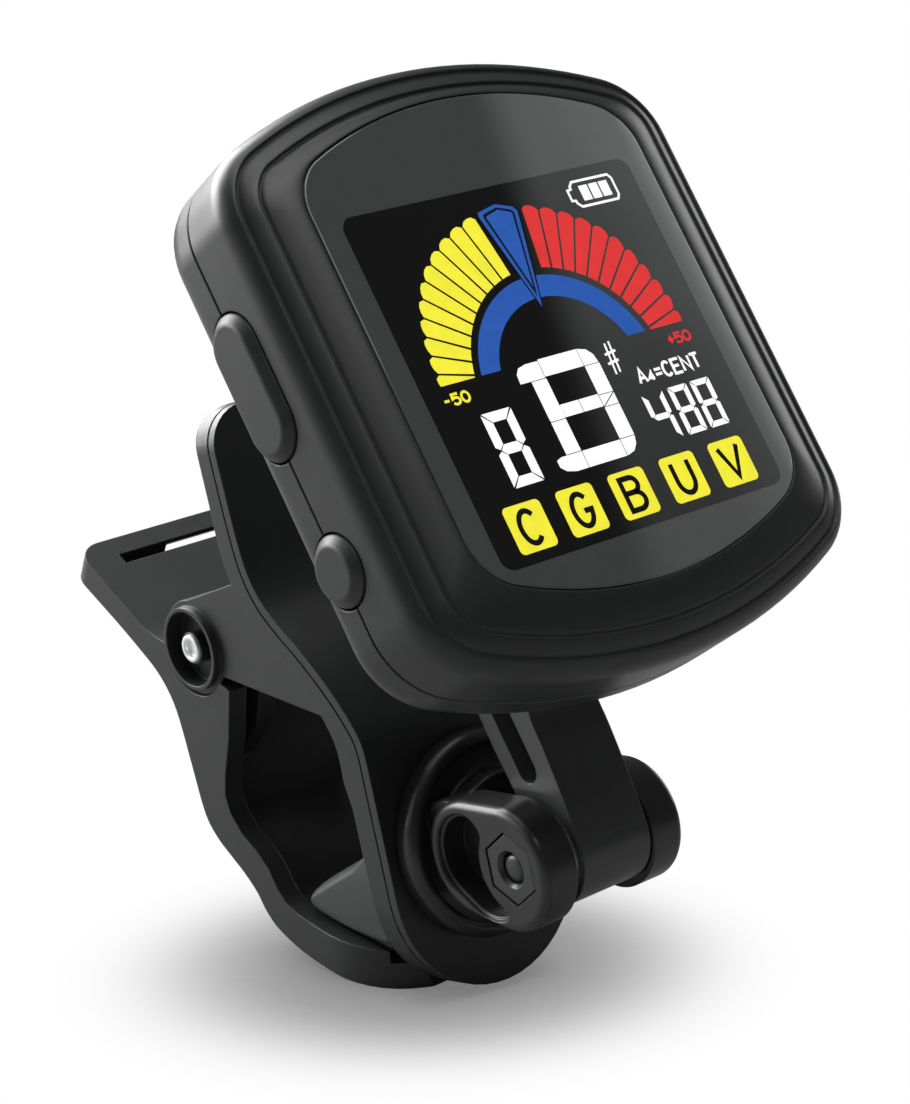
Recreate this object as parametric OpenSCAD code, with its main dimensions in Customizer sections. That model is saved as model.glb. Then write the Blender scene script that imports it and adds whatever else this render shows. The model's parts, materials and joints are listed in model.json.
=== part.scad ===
// Clip-on tuner: display head on a tilting, swivelling arm, carried by a sprung clip.
// +X is to the right seen from the front, -Y is the way the display faces, +Z is up the display.
// The origin is the clamping point between the two jaws, on the centre plane.

/* [Head] */
// Width of the head
head_w = 43; // [41:0.5:45]
// Height of the head
head_h = 49; // [47:0.5:51]
// Radius of the arched top and bottom edges
head_arch = 45; // [40:1:60]
// Radius of the head's corners
head_corner = 6.5; // [5:0.5:8]
// Wall thickness of the two case shells
wall = 1.6; // [1.2:0.1:1.8]

/* [Lens] */
// Width of the front lens
lens_w = 32.2; // [31:0.2:33]
// Height of the front lens
lens_h = 39.4; // [38:0.2:40]
// Thickness of the front lens
lens_t = 1.1; // [0.9:0.1:1.2]

/* [Buttons] */
// Height of the long button
long_h = 11.4; // [9:0.2:13]
// Width of both buttons
button_w = 5.4; // [4.6:0.2:5.6]
// Distance the button crowns stand out of the side wall
button_out = 0.7; // [0.5:0.1:1]

/* [Battery] */
// Diameter of the coin cell
cell_d = 20; // [19.5:0.1:20.1]
// Thickness of the coin cell
cell_t = 3.2; // [2.5:0.1:3.2]

/* [Arm and yoke] */
// Half width of the arm's knuckle
arm_half = 3.45; // [3:0.05:3.5]
// Radius of the arm's knuckle
knuckle_r = 4.2; // [4:0.1:4.6]
// Outer half width across the yoke's ears
ear_half = 7.3; // [7:0.1:7.6]
// Radius of the swivel disc
disc_r = 8.5; // [8:0.1:9]
// Thickness of the swivel disc
disc_t = 2.2; // [1.8:0.1:2.4]
// Shank radius of the hinge bolt
bolt_r = 1.25; // [1:0.05:1.4]
// Width across the flats of the hinge nut
nut_af = 5; // [4.5:0.1:5.2]

/* [Clip] */
// Width of the clip
clip_w = 18.8; // [18:0.1:20]
// Tilt of the front jaw's outer face
jaw_tilt = 22; // [20:0.5:24]
// Thickness of the front jaw
jaw_t = 3.2; // [3:0.1:3.4]
// Outer radius of the pivot pin
pin_r = 1.2; // [1:0.05:1.3]
// Wire radius of the torsion spring
wire_r = 0.45; // [0.35:0.05:0.5]

/* [Hidden] */
$fn = 64;

// Colours shared by several pieces
CASE_GREY = [0.16, 0.17, 0.17];
CLIP_GREY = [0.15, 0.16, 0.16];
BUTTON_GREY = [0.2, 0.2, 0.2];
SCREW_GREY = [0.3, 0.3, 0.32];
STEEL = [0.8, 0.8, 0.82];

// Thickness of the thin slices that the hulls join
SLICE = 0.01;
HALF_W = clip_w / 2;
// Height of the clip's pivot, which lies on y = 0
PIVOT_Z = 26.5;
// Centre of the swivel disc on the front jaw's outer face
SWIVEL_Y = -13.2;
SWIVEL_Z = 2;
// Tilt axis of the arm, and its distance out from that face
HINGE_OUT = 12.64;
HINGE = jaw_point(0, -HINGE_OUT);

// ---- helpers ----
// Catmull-Rom value between b and c
function catmull_rom(a, b, c, d, t) = 0.5 * ((2 * b) + (c - a) * t
  + (2 * a - 5 * b + 4 * c - d) * t * t + (3 * b - a - 3 * c + d) * t * t * t);
// Smooth curve through the points, in a number of steps per span
function curve(points, steps) = let(last = len(points) - 1) [
  for (i = [0:last - 1], k = [0:steps - 1]) catmull_rom(points[max(i - 1, 0)], points[i],
    points[i + 1], points[min(i + 2, last)], k / steps),
  points[last]];
function reversed(points) = [for (i = [len(points) - 1:-1:0]) points[i]];
function arc_points(x, z, r, from, to, steps) = [for (i = [0:steps])
  let(a = from + (to - from) * i / steps) [x + r * cos(a), z + r * sin(a)]];
// Outline with straight sides, arched top and bottom and round corners
function arched(w, h, arch, corner, inset) = let(
    x = w / 2 - corner,
    arch_z = h / 2 - arch,
    z = arch_z + sqrt(pow(arch - corner, 2) - pow(x, 2)),
    a = atan2(z - arch_z, x),
    top = concat(
      arc_points(x, z, corner - inset, 0, a, 7),
      arc_points(0, arch_z, arch - inset, a + (180 - 2 * a) / 8, 180 - a, 7),
      arc_points(-x, z, corner - inset, 180 - a, 180, 7)))
  concat(top, [for (p = top) -p]);
// Point (y, z) a distance down the front jaw's outer face and a depth behind it
function jaw_point(down, depth = 0) = [
  SWIVEL_Y + down * sin(jaw_tilt) + depth * cos(jaw_tilt),
  SWIVEL_Z - down * cos(jaw_tilt) + depth * sin(jaw_tilt)];

// Side view shapes (y, z) pushed along X, and front view shapes (x, z) pushed along Y
module along_x(x0, x1) translate([x0, 0, 0]) rotate([90, 0, 90]) linear_extrude(x1 - x0) children();
module along_y(y0, y1) translate([0, y1, 0]) rotate([90, 0, 0]) linear_extrude(y1 - y0) children();
module rod_x(x0, x1, r, y = 0, z = 0)
  translate([x0, y, z]) rotate([0, 90, 0]) cylinder(h = x1 - x0, r = r);
module rod_y(y0, y1, r, x = 0, z = 0)
  translate([x, y1, z]) rotate([90, 0, 0]) cylinder(h = y1 - y0, r = r);
// One rod at each [x, z] place
module rods_y(y0, y1, r, places) for (p = places) rod_y(y0, y1, r, p[0], p[1]);
// Rectangle centred on x = 0 and z, pushed along Y
module plate_y(y0, y1, w, h, z) along_y(y0, y1) translate([0, z]) square([w, h], center = true);
module both_sides() {
  children();
  mirror([1, 0, 0]) children();
}
// Frame of the front jaw: local y = 0 is its outer face, -y points away from the clip
module on_jaw() translate([0, SWIVEL_Y, SWIVEL_Z]) rotate([jaw_tilt, 0, 0]) children();
// Rods about the tilt axis (in the jaw's frame) and about the clip's pivot
module hinge_rod(x0, x1, r) rod_x(x0, x1, r, -HINGE_OUT);
module pivot_rod(x0, x1, r) rod_x(x0, x1, r, 0, PIVOT_Z);
// Upright oblong with round ends, or a circle where h is w
module stadium_outline(w, h) if (h < w + 0.01) circle(w / 2);
else {
  square([w, h - w], center = true);
  for (s = [-1, 1]) translate([0, s * (h - w) / 2]) circle(w / 2);
}
module stadium(x0, x1, w, h, y, z)
  translate([0, y, z]) along_x(x0, x1) stadium_outline(w, h);
// Cross recess centred on the origin
module cross(size, depth, slot) {
  cube([size, depth, slot], center = true);
  cube([slot, depth, size], center = true);
}
// Screw along Y with its head at the back, at a place [x, z]
module screw(place, tip, seat, top, head_r, shank_r, cross_size, cross_depth) difference() {
  union() {
    rod_y(seat, top, head_r, place[0], place[1]);
    rod_y(tip, seat + 0.01, shank_r, place[0], place[1]);
  }
  translate([place[0], top, place[1]]) cross(cross_size, cross_depth, 0.35);
}

// ---- head ----
// Planes from front to back: lens face, end of the front bevel, shell seam, back
LENS_Y = -48.35;
EDGE_Y = -45.5;
SEAM_Y = -41.1;
BACK_Y = -37.2;
// Half the gap between the shells
SEAM_GAP = 0.05;
// Insets of the front and back faces, the back one also being the bevel's depth
FRONT_BEVEL = 5.1;
BACK_BEVEL = 1.2;
// Centre heights
HEAD_Z = 29.6;
WINDOW_Z = 28.5;
LENS_Z = 30.4;
CELL_Z = 32.5;
LONG_Z = 34.3;
ROUND_Z = 19.8;
// Case screws, [x, z]
CASE_SCREWS = [[-12, 9.6], [12, 9.6], [-16.2, 47.2], [16.2, 47.2]];
POST_R = 2.1;
// Arm root: a plate let into the back of the head, held by two screws
ROOT_Z = 13.1;
ROOT_SIZE = [15.2, 9.6];
ROOT_BACK = -36;
ARM_SCREWS = [[-5.6, ROOT_Z], [5.6, ROOT_Z]];
// Back face of the board, the plane its parts start from, and the ribbon's lower height
BOARD_BACK = -43.1;
PARTS_Y = BOARD_BACK + 0.05;
FLEX_Z = WINDOW_Z - 17.2;
// Front face of the coin cell
CELL_Y = -42.15;
// Outer end of the button crowns, their bevel's depth, and the clearance round them
CROWN_X = -head_w / 2 - button_out;
CROWN_BEVEL = 0.35;
BUTTON_FIT = 0.2;

module head_outline(inset = 0)
  translate([0, HEAD_Z]) polygon(arched(head_w, head_h, head_arch, head_corner, inset));
module lens_outline(inset = 0) translate([0, LENS_Z]) polygon(arched(lens_w, lens_h, 34, 4.5, inset));
module head_slice(y, inset = 0) along_y(y, y + SLICE) head_outline(inset);
// Button openings in the left side wall
module button_openings() {
  stadium(-23, -18, button_w + BUTTON_FIT, long_h + BUTTON_FIT, SEAM_Y, LONG_Z);
  rod_x(-23, -18, (button_w + BUTTON_FIT) / 2, SEAM_Y, ROUND_Z);
}
module front_case() color(CASE_GREY) difference() {
  union() {
    difference() {
      union() {
        along_y(EDGE_Y, SEAM_Y - SEAM_GAP) head_outline();
        hull() {
          head_slice(EDGE_Y - SLICE);
          head_slice(LENS_Y, FRONT_BEVEL);
        }
      }
      along_y(EDGE_Y + 0.3, SEAM_Y + 1) head_outline(wall);
      along_y(-46.75, EDGE_Y + 0.4) head_outline(4);
    }
    rods_y(-45.7, SEAM_Y - 0.1, POST_R, CASE_SCREWS);
  }
  // lens recess, window and screw holes
  along_y(LENS_Y - 1, LENS_Y + lens_t + 0.05) lens_outline(-0.06);
  plate_y(-48, -46, 29.2, 29.2, WINDOW_Z);
  rods_y(-45.3, SEAM_Y, 0.7, CASE_SCREWS);
  button_openings();
}
module rear_case() color(CASE_GREY) difference() {
  union() {
    difference() {
      union() {
        along_y(SEAM_Y + SEAM_GAP, BACK_Y - BACK_BEVEL) head_outline();
        hull() {
          head_slice(BACK_Y - BACK_BEVEL - SLICE);
          head_slice(BACK_Y - SLICE, BACK_BEVEL);
        }
      }
      along_y(SEAM_Y - 1, BACK_Y - wall) head_outline(wall);
    }
    // ring round the cell
    difference() {
      rod_y(-41, BACK_Y - 1, 14, z = CELL_Z);
      rod_y(-42, BACK_Y - wall, 12.9, z = CELL_Z);
    }
    rods_y(SEAM_Y + SEAM_GAP, BACK_Y - 0.5, POST_R, CASE_SCREWS);
    rods_y(-41, BACK_Y - 1, 1.9, ARM_SCREWS);
  }
  // battery door opening, and a bar across it that cuts two notches for the bayonet lugs
  rod_y(-42, -36, 12.1, z = CELL_Z);
  translate([0, -37, CELL_Z]) rotate([0, -40, 0]) cube([25.8, 6, 3.6], center = true);
  // screw holes and their counterbores
  rods_y(-42, -36, 0.95, CASE_SCREWS);
  rods_y(BACK_Y - 1.3, -36, 1.75, CASE_SCREWS);
  // seat and screw holes of the arm's root
  plate_y(BACK_Y - 0.6, ROOT_BACK, ROOT_SIZE[0] + 0.1, ROOT_SIZE[1] + 0.1, ROOT_Z);
  rods_y(-42, -36, 0.75, ARM_SCREWS);
  button_openings();
}
module front_lens() color([0.12, 0.13, 0.13]) along_y(LENS_Y, LENS_Y + lens_t) lens_outline();
module display_panel() color([0.05, 0.05, 0.06]) plate_y(-46.7, -45.4, 32, 32, WINDOW_Z);
module backlight() color([0.85, 0.87, 0.85]) plate_y(-45.35, -44.35, 31, 31, WINDOW_Z);
// Ribbon from the panel's lower edge, folded over to the board's back
module flex_cable() color([0.75, 0.45, 0.12]) {
  ribbon_w = 14;
  ribbon_t = 0.15;
  translate([-ribbon_w / 2, -46.2, FLEX_Z]) {
    cube([ribbon_w, 3.3, ribbon_t]);
    cube([ribbon_w, ribbon_t, 1.18]);
  }
  translate([-ribbon_w / 2, PARTS_Y, FLEX_Z]) cube([ribbon_w, ribbon_t, 2.6]);
}
module main_board() color([0.05, 0.3, 0.15]) difference() {
  along_y(BOARD_BACK - 1, BOARD_BACK) difference() {
    intersection() {
      translate([0, HEAD_Z - 0.4]) square([37, 37.4], center = true);
      head_outline(2.1);
    }
    // notch for the ribbon
    translate([0, FLEX_Z]) square([15, 2.4], center = true);
  }
  rods_y(-45, -43, 2.5, CASE_SCREWS);
  stadium(-19, -17.4, 6, long_h + 1, -43.6, LONG_Z);
}
// Chips on the board's back: [x, z, width, depth, height]
CHIPS = [[-5, 14.2, 7, 0.9, 3.4], [4.5, 14.4, 4, 0.9, 3], [10.5, 15, 3.2, 1.1, 1.5]];
module board_chips() color([0.08, 0.08, 0.09]) {
  for (c = CHIPS) translate([c[0], PARTS_Y, c[1]]) cube([c[2], c[3], c[4]]);
  // row of four small ones
  for (i = [0:3]) translate([-12.5 + i * 1.8, PARTS_Y, 15.2]) cube([1, 0.5, 0.6]);
}
module tact_switches() color([0.75, 0.76, 0.78]) for (z = [LONG_Z, ROUND_Z]) {
  translate([-17.3, PARTS_Y, z - 1.75]) cube([1.9, 1.9, 3.5]);
  rod_x(-17.8, -17.3, 0.6, -42.1, z);
}
// Button with a bevelled crown, an inner flange and a stub facing its switch
module button(h, z) {
  crown_base = CROWN_X + CROWN_BEVEL;
  stadium(crown_base, -18.9, button_w, h, SEAM_Y, z);
  hull() {
    stadium(crown_base, crown_base + SLICE, button_w, h, SEAM_Y, z);
    stadium(CROWN_X, CROWN_X + SLICE, button_w - 1.1, h - 1.1, SEAM_Y, z);
  }
  translate([-19.6, -43, z - h / 2 - 0.8]) cube([0.9, 4, h + 1.6]);
  rod_x(-18.8, -18.25, 0.8, SEAM_Y - 0.8, z);
}
module power_button() color(BUTTON_GREY) button(long_h, LONG_Z);
module mode_button() color(BUTTON_GREY) button(button_w, ROUND_Z);
module coin_cell() color(STEEL) {
  step = 0.35;
  rod_y(CELL_Y + step, CELL_Y + cell_t, cell_d / 2, z = CELL_Z);
  rod_y(CELL_Y, CELL_Y + step + 0.01, cell_d / 2 - 0.7, z = CELL_Z);
}
module cell_contact_top() color([0.85, 0.75, 0.45]) {
  translate([-2.5, PARTS_Y, CELL_Z - 6]) cube([5, 0.2, 12]);
  translate([-1.5, -42.86, CELL_Z - 1.5]) cube([3, 0.7, 3]);
}
module cell_contact_side() color(STEEL) translate([-4, PARTS_Y, CELL_Z + 10.2]) {
  cube([8, 0.2, 2.2]);
  cube([8, 3.4, 0.2]);
}
// Ring of the cover's seal, widened on both sides by fit for its groove
module seal_ring(y0, y1, fit = 0) difference() {
  rod_y(y0, y1, 11.15 + fit, z = CELL_Z);
  rod_y(-40, -38, 10.25 - fit, z = CELL_Z);
}
module battery_cover() color(CLIP_GREY) difference() {
  union() {
    rod_y(-38.9, BACK_Y, 12.04, z = CELL_Z);
    // bayonet lugs
    for (turn = [0, 180]) intersection() {
      rod_y(-39.75, -38.85, 12.75, z = CELL_Z);
      translate([0, 0, CELL_Z]) rotate([0, turn, 0]) translate([10.3, -40, -1.5]) cube([3, 2, 3]);
    }
  }
  // slot across the back
  translate([0, BACK_Y, CELL_Z]) cube([9, 1.4, 1.7], center = true);
  seal_ring(-39, -38.2, fit = 0.05);
}
module cover_seal() color([0.1, 0.1, 0.1]) seal_ring(-38.95, -38.22);
module piezo_disc() color([0.8, 0.65, 0.3]) {
  rod_y(-39.3, -38.85, 4.2, -12.4, 18);
  rod_y(-39.6, -39.29, 3, -12.4, 18);
}
module case_screws() color(SCREW_GREY) for (p = CASE_SCREWS)
  screw(p, tip = -44.8, seat = BACK_Y - 1.28, top = BACK_Y - 0.4,
    head_r = 1.6, shank_r = 0.68, cross_size = 1.8, cross_depth = 0.8);

// ---- arm ----
// Front and back flanks of the upright
ARM_FRONT = -29.75;
ARM_BACK = -24.45;
// Side outline (y, z) of the upright, from the knuckle up the front flank and down the back
ARM_SIDE = concat(
  curve([[HINGE[0] - knuckle_r + 0.03, HINGE[1] - 0.6], [ARM_FRONT + 0.2, HINGE[1] + 2.2],
    [ARM_FRONT - 0.3, 4.2], [ARM_FRONT - 0.5, 7], [ARM_FRONT - 1.6, 9.2],
    [-33.5, 10.0], [-36.5, 10.2]], 4),
  [[-36.5, 16.8]],
  curve([[-30.5, 16.8], [-26.6, 15.6], [-24.9, 12.4], [ARM_BACK, 8], [ARM_BACK - 0.05, 3],
    [HINGE[0] + 0.4, HINGE[1] + 4.6]], 4));
module head_arm() color([0.14, 0.15, 0.15]) difference() {
  union() {
    along_x(-arm_half, arm_half) {
      translate(HINGE) circle(knuckle_r);
      polygon(ARM_SIDE);
    }
    plate_y(BACK_Y - 0.55, ROOT_BACK, ROOT_SIZE[0], ROOT_SIZE[1], ROOT_Z);
  }
  // slot between the arm's front and rear walls
  along_x(-5, 5) {
    for (z = [3.6, 11.6]) translate([-27.1, z]) circle(1.05);
    translate([-28.15, 3.6]) square([2.1, 8]);
  }
  rod_x(-9, 9, bolt_r + 0.05, HINGE[0], HINGE[1]);
  rods_y(-39, -35, 0.9, ARM_SCREWS);
  rods_y(-36.6, -35, 1.6, ARM_SCREWS);
}
module arm_screws() color(SCREW_GREY) for (p = ARM_SCREWS)
  screw(p, tip = -40.2, seat = -36.58, top = -35.9,
    head_r = 1.5, shank_r = 0.72, cross_size = 1.7, cross_depth = 0.7);

// ---- yoke, in the jaw's frame ----
EAR_IN = arm_half + 0.45;
module ear_outline() hull() {
  translate([-11.6, -0.2]) circle(5.05);
  translate([-7.46, 0.45]) circle(4.67);
}
// Recess in an ear's outer face, leaving a round boss about the tilt axis
module ear_recess() difference() {
  hull() {
    translate([-7.4, 0.5]) circle(3.3);
    translate([-9.4, -0.6]) circle(3.6);
  }
  translate([-HINGE_OUT, 0]) circle(4.05);
}
// Hexagon about the tilt axis
module hinge_hex(x0, x1, flats) translate([x0, -HINGE_OUT, 0])
  rotate([0, 90, 0]) rotate([0, 0, 90]) cylinder(h = x1 - x0, r = flats / sqrt(3), $fn = 6);
module swivel_yoke() color([0.13, 0.14, 0.14]) on_jaw() difference() {
  union() {
    // disc with a stepped edge, and a hub on it
    rod_y(-disc_t + 0.6, -0.05, disc_r);
    rod_y(-disc_t, -disc_t + 0.61, disc_r - 0.5);
    rod_y(-4.2, -disc_t + 0.01, 5.2);
    both_sides() {
      along_x(EAR_IN, ear_half) ear_outline();
      along_x(EAR_IN, ear_half - 0.6)
        polygon([[-9, -4.1], [-disc_t + 0.1, -4.1], [-disc_t + 0.1, 5], [-9, 5]]);
    }
  }
  // bolt hole, its head's counterbore and the nut's pocket
  hinge_rod(-9, 9, bolt_r);
  hinge_rod(ear_half - 1.9, 9, 2.45);
  hinge_hex(-ear_half - 1, -ear_half + 2.1, nut_af + 0.1);
  along_x(-ear_half - 1, -arm_half - 1.2) ear_recess();
  along_x(arm_half + 1.2, ear_half + 1) ear_recess();
  rod_y(-4, 1, 1.5);
}
module hinge_bolt() color([0.25, 0.25, 0.27]) on_jaw() difference() {
  union() {
    hinge_rod(-ear_half + 0.25, ear_half - 1.8, bolt_r - 0.005);
    hinge_rod(ear_half - 1.88, ear_half - 0.2, 2.35);
  }
  translate([ear_half - 1.2, -HINGE_OUT, 0]) rotate([0, 90, 0]) cylinder(h = 2, r = 1.15, $fn = 6);
}
module hinge_nut() color([0.3, 0.31, 0.32]) on_jaw() difference() {
  hinge_hex(-ear_half + 0.1, -ear_half + 2.1, nut_af);
  hinge_rod(-ear_half - 0.9, -ear_half + 3.1, bolt_r);
}
module friction_washers() color([0.7, 0.7, 0.7]) on_jaw() both_sides() difference() {
  hinge_rod(arm_half + 0.02, arm_half + 0.42, 3.7);
  hinge_rod(arm_half - 1, arm_half + 1, bolt_r + 0.05);
}
module swivel_screw() color([0.4, 0.4, 0.42]) on_jaw() difference() {
  union() {
    rod_y(-3.9, 2, 1.49);
    rod_y(1.95, 3.1, 2.9);
  }
  translate([0, 3.1, 0]) cross(3.2, 1.2, 0.6);
}
module swivel_washer() color([0.7, 0.71, 0.72]) on_jaw() difference() {
  rod_y(1.55, 1.93, 3.1);
  rod_y(1, 3, 1.55);
}

// ---- clip: the side outlines are lists of (y, z) ----
// Plan of a lever seen square to its plate: round tongue below, round corners above
module tongue_outline(half_w, bottom, top, corner) polygon(concat(
  arc_points(0, bottom, half_w, 180, 360, 24),
  arc_points(half_w - corner, top - corner, corner, 0, 90, 8),
  arc_points(corner - half_w, top - corner, corner, 90, 180, 8)));
// Front plate: down the outer side from the handle to the jaw, then up the inner side
FRONT_PLATE = concat(
  curve([[-16.6, 41.3], [-15.6, 38.9], [-14.5, 36], [-13, 31.7], [-12.2, 28.6], [-12.3, 25.8],
    [-13.2, 23.2], [-14.5, 20.4], [-15.9, 16.7], [-16.75, 13.2], [-16.75, 11],
    jaw_point(-6.6)], 4),
  [jaw_point(-2), jaw_point(16), jaw_point(16, jaw_t), jaw_point(-4.6, jaw_t)],
  curve([[-12.35, 9.6], [-13.35, 12], [-13.5, 14], [-13.1, 16.5], [-12, 19.8], [-10.6, 22.9],
    [-9.6, 25.8], [-9.4, 28.6], [-10.1, 31.9], [-11.3, 35], [-12.8, 39], [-13.7, 41.2],
    [-15.2, 42]], 4));
// Web joining the front plate to the pivot
FRONT_WEB = [[0.3, PIVOT_Z + 4.1], [-9.9, PIVOT_Z + 2.0], [-11.6, PIVOT_Z - 1], [-12.7, 22],
  [-15.4, 16], [-13.6, 14.8], [-2.05, PIVOT_Z - 3.56], [0, PIVOT_Z - 3]];
module front_lever() color(CLIP_GREY) difference() {
  union() {
    intersection() {
      union() {
        along_x(-HALF_W, HALF_W) polygon(FRONT_PLATE);
        both_sides() along_x(HALF_W - 3.3, HALF_W - 0.3) {
          translate([0, PIVOT_Z]) circle(4.12);
          polygon(FRONT_WEB);
        }
      }
      on_jaw() along_y(-40, 60) tongue_outline(HALF_W, -3.2, 37.6, 3.5);
    }
    // boss, standing out a little past the sides
    both_sides() {
      pivot_rod(HALF_W - 2.3, HALF_W - 0.3, 3.95);
      pivot_rod(HALF_W - 2, HALF_W + 0.4, 3.6);
    }
  }
  // round recess of the boss, leaving a hub round the pin
  both_sides() difference() {
    pivot_rod(HALF_W - 0.75, HALF_W + 2, 3.25);
    pivot_rod(HALF_W - 3, HALF_W + 0.05, 1.9);
  }
  pivot_rod(-HALF_W - 2, HALF_W + 2, pin_r + 0.01);
  // swivel screw's hole and counterbore
  on_jaw() {
    rod_y(-1, 5, 1.56);
    rod_y(1.53, 5, 3.25);
  }
}
// Outer and inner sides of the rear plate, from the handle's end down to the jaw's
REAR_OUT = [[13.2, 39.5], [9.7, 33.1], [7.9, 29.5], [6.8, 27], [6.4, 24.6], [6.7, 22.2], [8, 18],
  [9.1, 14.2], [8.9, 12], [8.1, 10], [7.2, 8], [6.6, 6], [6.5, 4.4], [6, 2.7], [4.8, 0.9],
  [3.4, -0.7], [1.1, -2.8], [-1.4, -4.8], [-4.2, -6.8], [-7.6, -8.8]];
REAR_IN = [[11.1, 40.9], [8, 34.9], [6.1, 31.2], [4.9, 28.6], [4.3, 26.8], [4.2, 24.4],
  [4.6, 21.6], [5.9, 17.6], [7.0, 14.2], [6.8, 12.4], [6.1, 10.6], [5.1, 8.4], [4.6, 6.3],
  [4.5, 4.6], [4.1, 3.6], [3.2, 2.3], [2, 0.8], [0, -1], [-2.3, -2.7], [-5, -4.6], [-8.3, -6.6]];
// Inner side of the side walls: deeper than the plate, running up to the pivot
WALL_IN = [[11.16, 40.86], [8.1, 34.85], [6.2, 31.15], [4.2, 28.9], [2, 27], [-2.4, 21.5],
  [0.7, 18.3], [3.6, 15.9], [4.9, 14.5], [5.3, 13], [5, 11], [4, 9], [3.4, 7.2], [3.4, 5.4],
  [3.1, 4], [2.2, 2.7], [1.1, 1.6], [-0.8, -0.05], [-3.1, -1.85], [-5.7, -3.85], [-9.2, -6.05]];
// Inner web joining the rear plate to the pivot
REAR_WEB = [[0.2, PIVOT_Z + 3.49], [5, PIVOT_Z + 1.8], [5.6, PIVOT_Z - 2], [6.4, 20], [6, 17.4],
  [1.2, 18.6], [-2, 21.4], [-3.2, PIVOT_Z - 1.5]];
// Lean of the rear handle
HANDLE_TILT = -29;
module rear_lever() color(CLIP_GREY) difference() {
  intersection() {
    union() {
      along_x(-HALF_W, HALF_W) polygon(concat(curve(REAR_OUT, 3), reversed(curve(REAR_IN, 3))));
      both_sides() difference() {
        along_x(HALF_W - 1.8, HALF_W) polygon(concat(curve(REAR_OUT, 3), reversed(WALL_IN)));
        pivot_rod(HALF_W - 4, HALF_W + 1, 4.22);
      }
      both_sides() along_x(HALF_W - 5.2, HALF_W - 3.4) {
        translate([0, PIVOT_Z]) circle(3.5);
        polygon(REAR_WEB);
      }
    }
    // plan outline: round corners on the handle, round tongue at the jaw
    union() {
      translate([0, 9.4, 36.8]) rotate([HANDLE_TILT, 0, 0])
        along_y(-8, 8) tongue_outline(HALF_W, -14, 4, 2.2);
      along_y(-6, 15) translate([-HALF_W, 2]) square([clip_w, 32]);
      translate([0, -7, -8.6]) rotate([-57, 0, 0])
        along_y(-20, 14) tongue_outline(HALF_W, HALF_W, 26, 1);
    }
    // everything behind the front jaw's inner face
    on_jaw() translate([-20, jaw_t + 0.12, -40]) cube([40, 60, 90]);
  }
  pivot_rod(-HALF_W - 1, HALF_W + 1, pin_r + 0.05);
  // slot across the handle, and a window that slopes through it
  translate([0, 9.6, 35.6]) rotate([HANDLE_TILT, 0, 0]) {
    along_y(-4, 0.2) translate([-6.1, 1.7]) square([12.2, 1.2]);
    along_x(-0.9, 6.1) polygon([[-2, 1.05], [2.4, 4.9], [2.4, 5.65], [-2, 1.8]]);
  }
}
// Pin with a blind hole in each end
module pivot_pin() color([0.85, 0.86, 0.88]) difference() {
  pivot_rod(-HALF_W - 0.25, HALF_W + 0.25, pin_r);
  both_sides() pivot_rod(HALF_W - 0.25, HALF_W + 1, pin_r - 0.25);
}

// ---- spring: an eight-sided tube swept along a helix about X ----
COIL_R = 2.35;
COIL_PITCH = 1.06;
// Steps per turn and in all, and the angle the coil starts at
TURN_STEPS = 16;
COIL_STEPS = 93;
COIL_START = 34;
WIRE_SIDES = 8;
// One ring of the wire about (x, y, z); out is the (y, z) direction its outside faces
function wire_ring(x, y, z, out) = [for (k = [0:WIRE_SIDES - 1])
  let(a = k * 360 / WIRE_SIDES, r = wire_r * cos(a))
  [x + wire_r * sin(a), y + out[0] * r, z + out[1] * r]];
function ring_corner(i, k) = i * WIRE_SIDES + k % WIRE_SIDES;
module torsion_spring() color([0.6, 0.61, 0.63]) {
  last = COIL_STEPS + 2;
  start_x = -COIL_STEPS / TURN_STEPS * COIL_PITCH / 2;
  // the legs leave the coil along its tangents, to the insides of the two handles
  rings = concat(
    [wire_ring(start_x, -10.5, PIVOT_Z + 8.05, [0.459, 0.8886])],
    [for (i = [0:COIL_STEPS]) let(a = i * 360 / TURN_STEPS + COIL_START)
      wire_ring(start_x + i * COIL_PITCH / TURN_STEPS,
        COIL_R * sin(a), PIVOT_Z + COIL_R * cos(a), [sin(a), cos(a)])],
    [wire_ring(-start_x, 6.45, PIVOT_Z + 6.72, [-0.524, 0.8525])]);
  polyhedron([for (r = rings, p = r) p], concat(
    [for (k = [1:WIRE_SIDES - 2]) [0, k, k + 1]],
    [for (i = [0:last - 1], k = [0:WIRE_SIDES - 1], face = [
      [ring_corner(i, k), ring_corner(i + 1, k + 1), ring_corner(i, k + 1)],
      [ring_corner(i, k), ring_corner(i + 1, k), ring_corner(i + 1, k + 1)]]) face],
    [for (k = [1:WIRE_SIDES - 2])
      [ring_corner(last, 0), ring_corner(last, k + 1), ring_corner(last, k)]]));
}

// ---- pads ----
// Side outline (y, z) of the front pad at its middle, and drawn in at its flanks
PAD_MIDDLE = [[-6.3, -4.0], [-4.2, -2.7], [-2.1, -1.35], [-0.1, 0.2], [1.3, 1.5], [2.15, 2.5],
  [2.4, 3.3], [1.9, 4.0], [0, 4.3], [-3, 4.3], [-6.6, 4.22]];
PAD_FLANK = [[-6.9, -3.0], [-4.8, -1.75], [-2.8, -0.45], [-0.9, 1.0], [0.4, 2.1], [0.95, 2.7],
  [1.0, 3.1], [0.6, 3.35], [-0.6, 3.4], [-3, 3.4], [-6.6, 3.4]];
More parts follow.
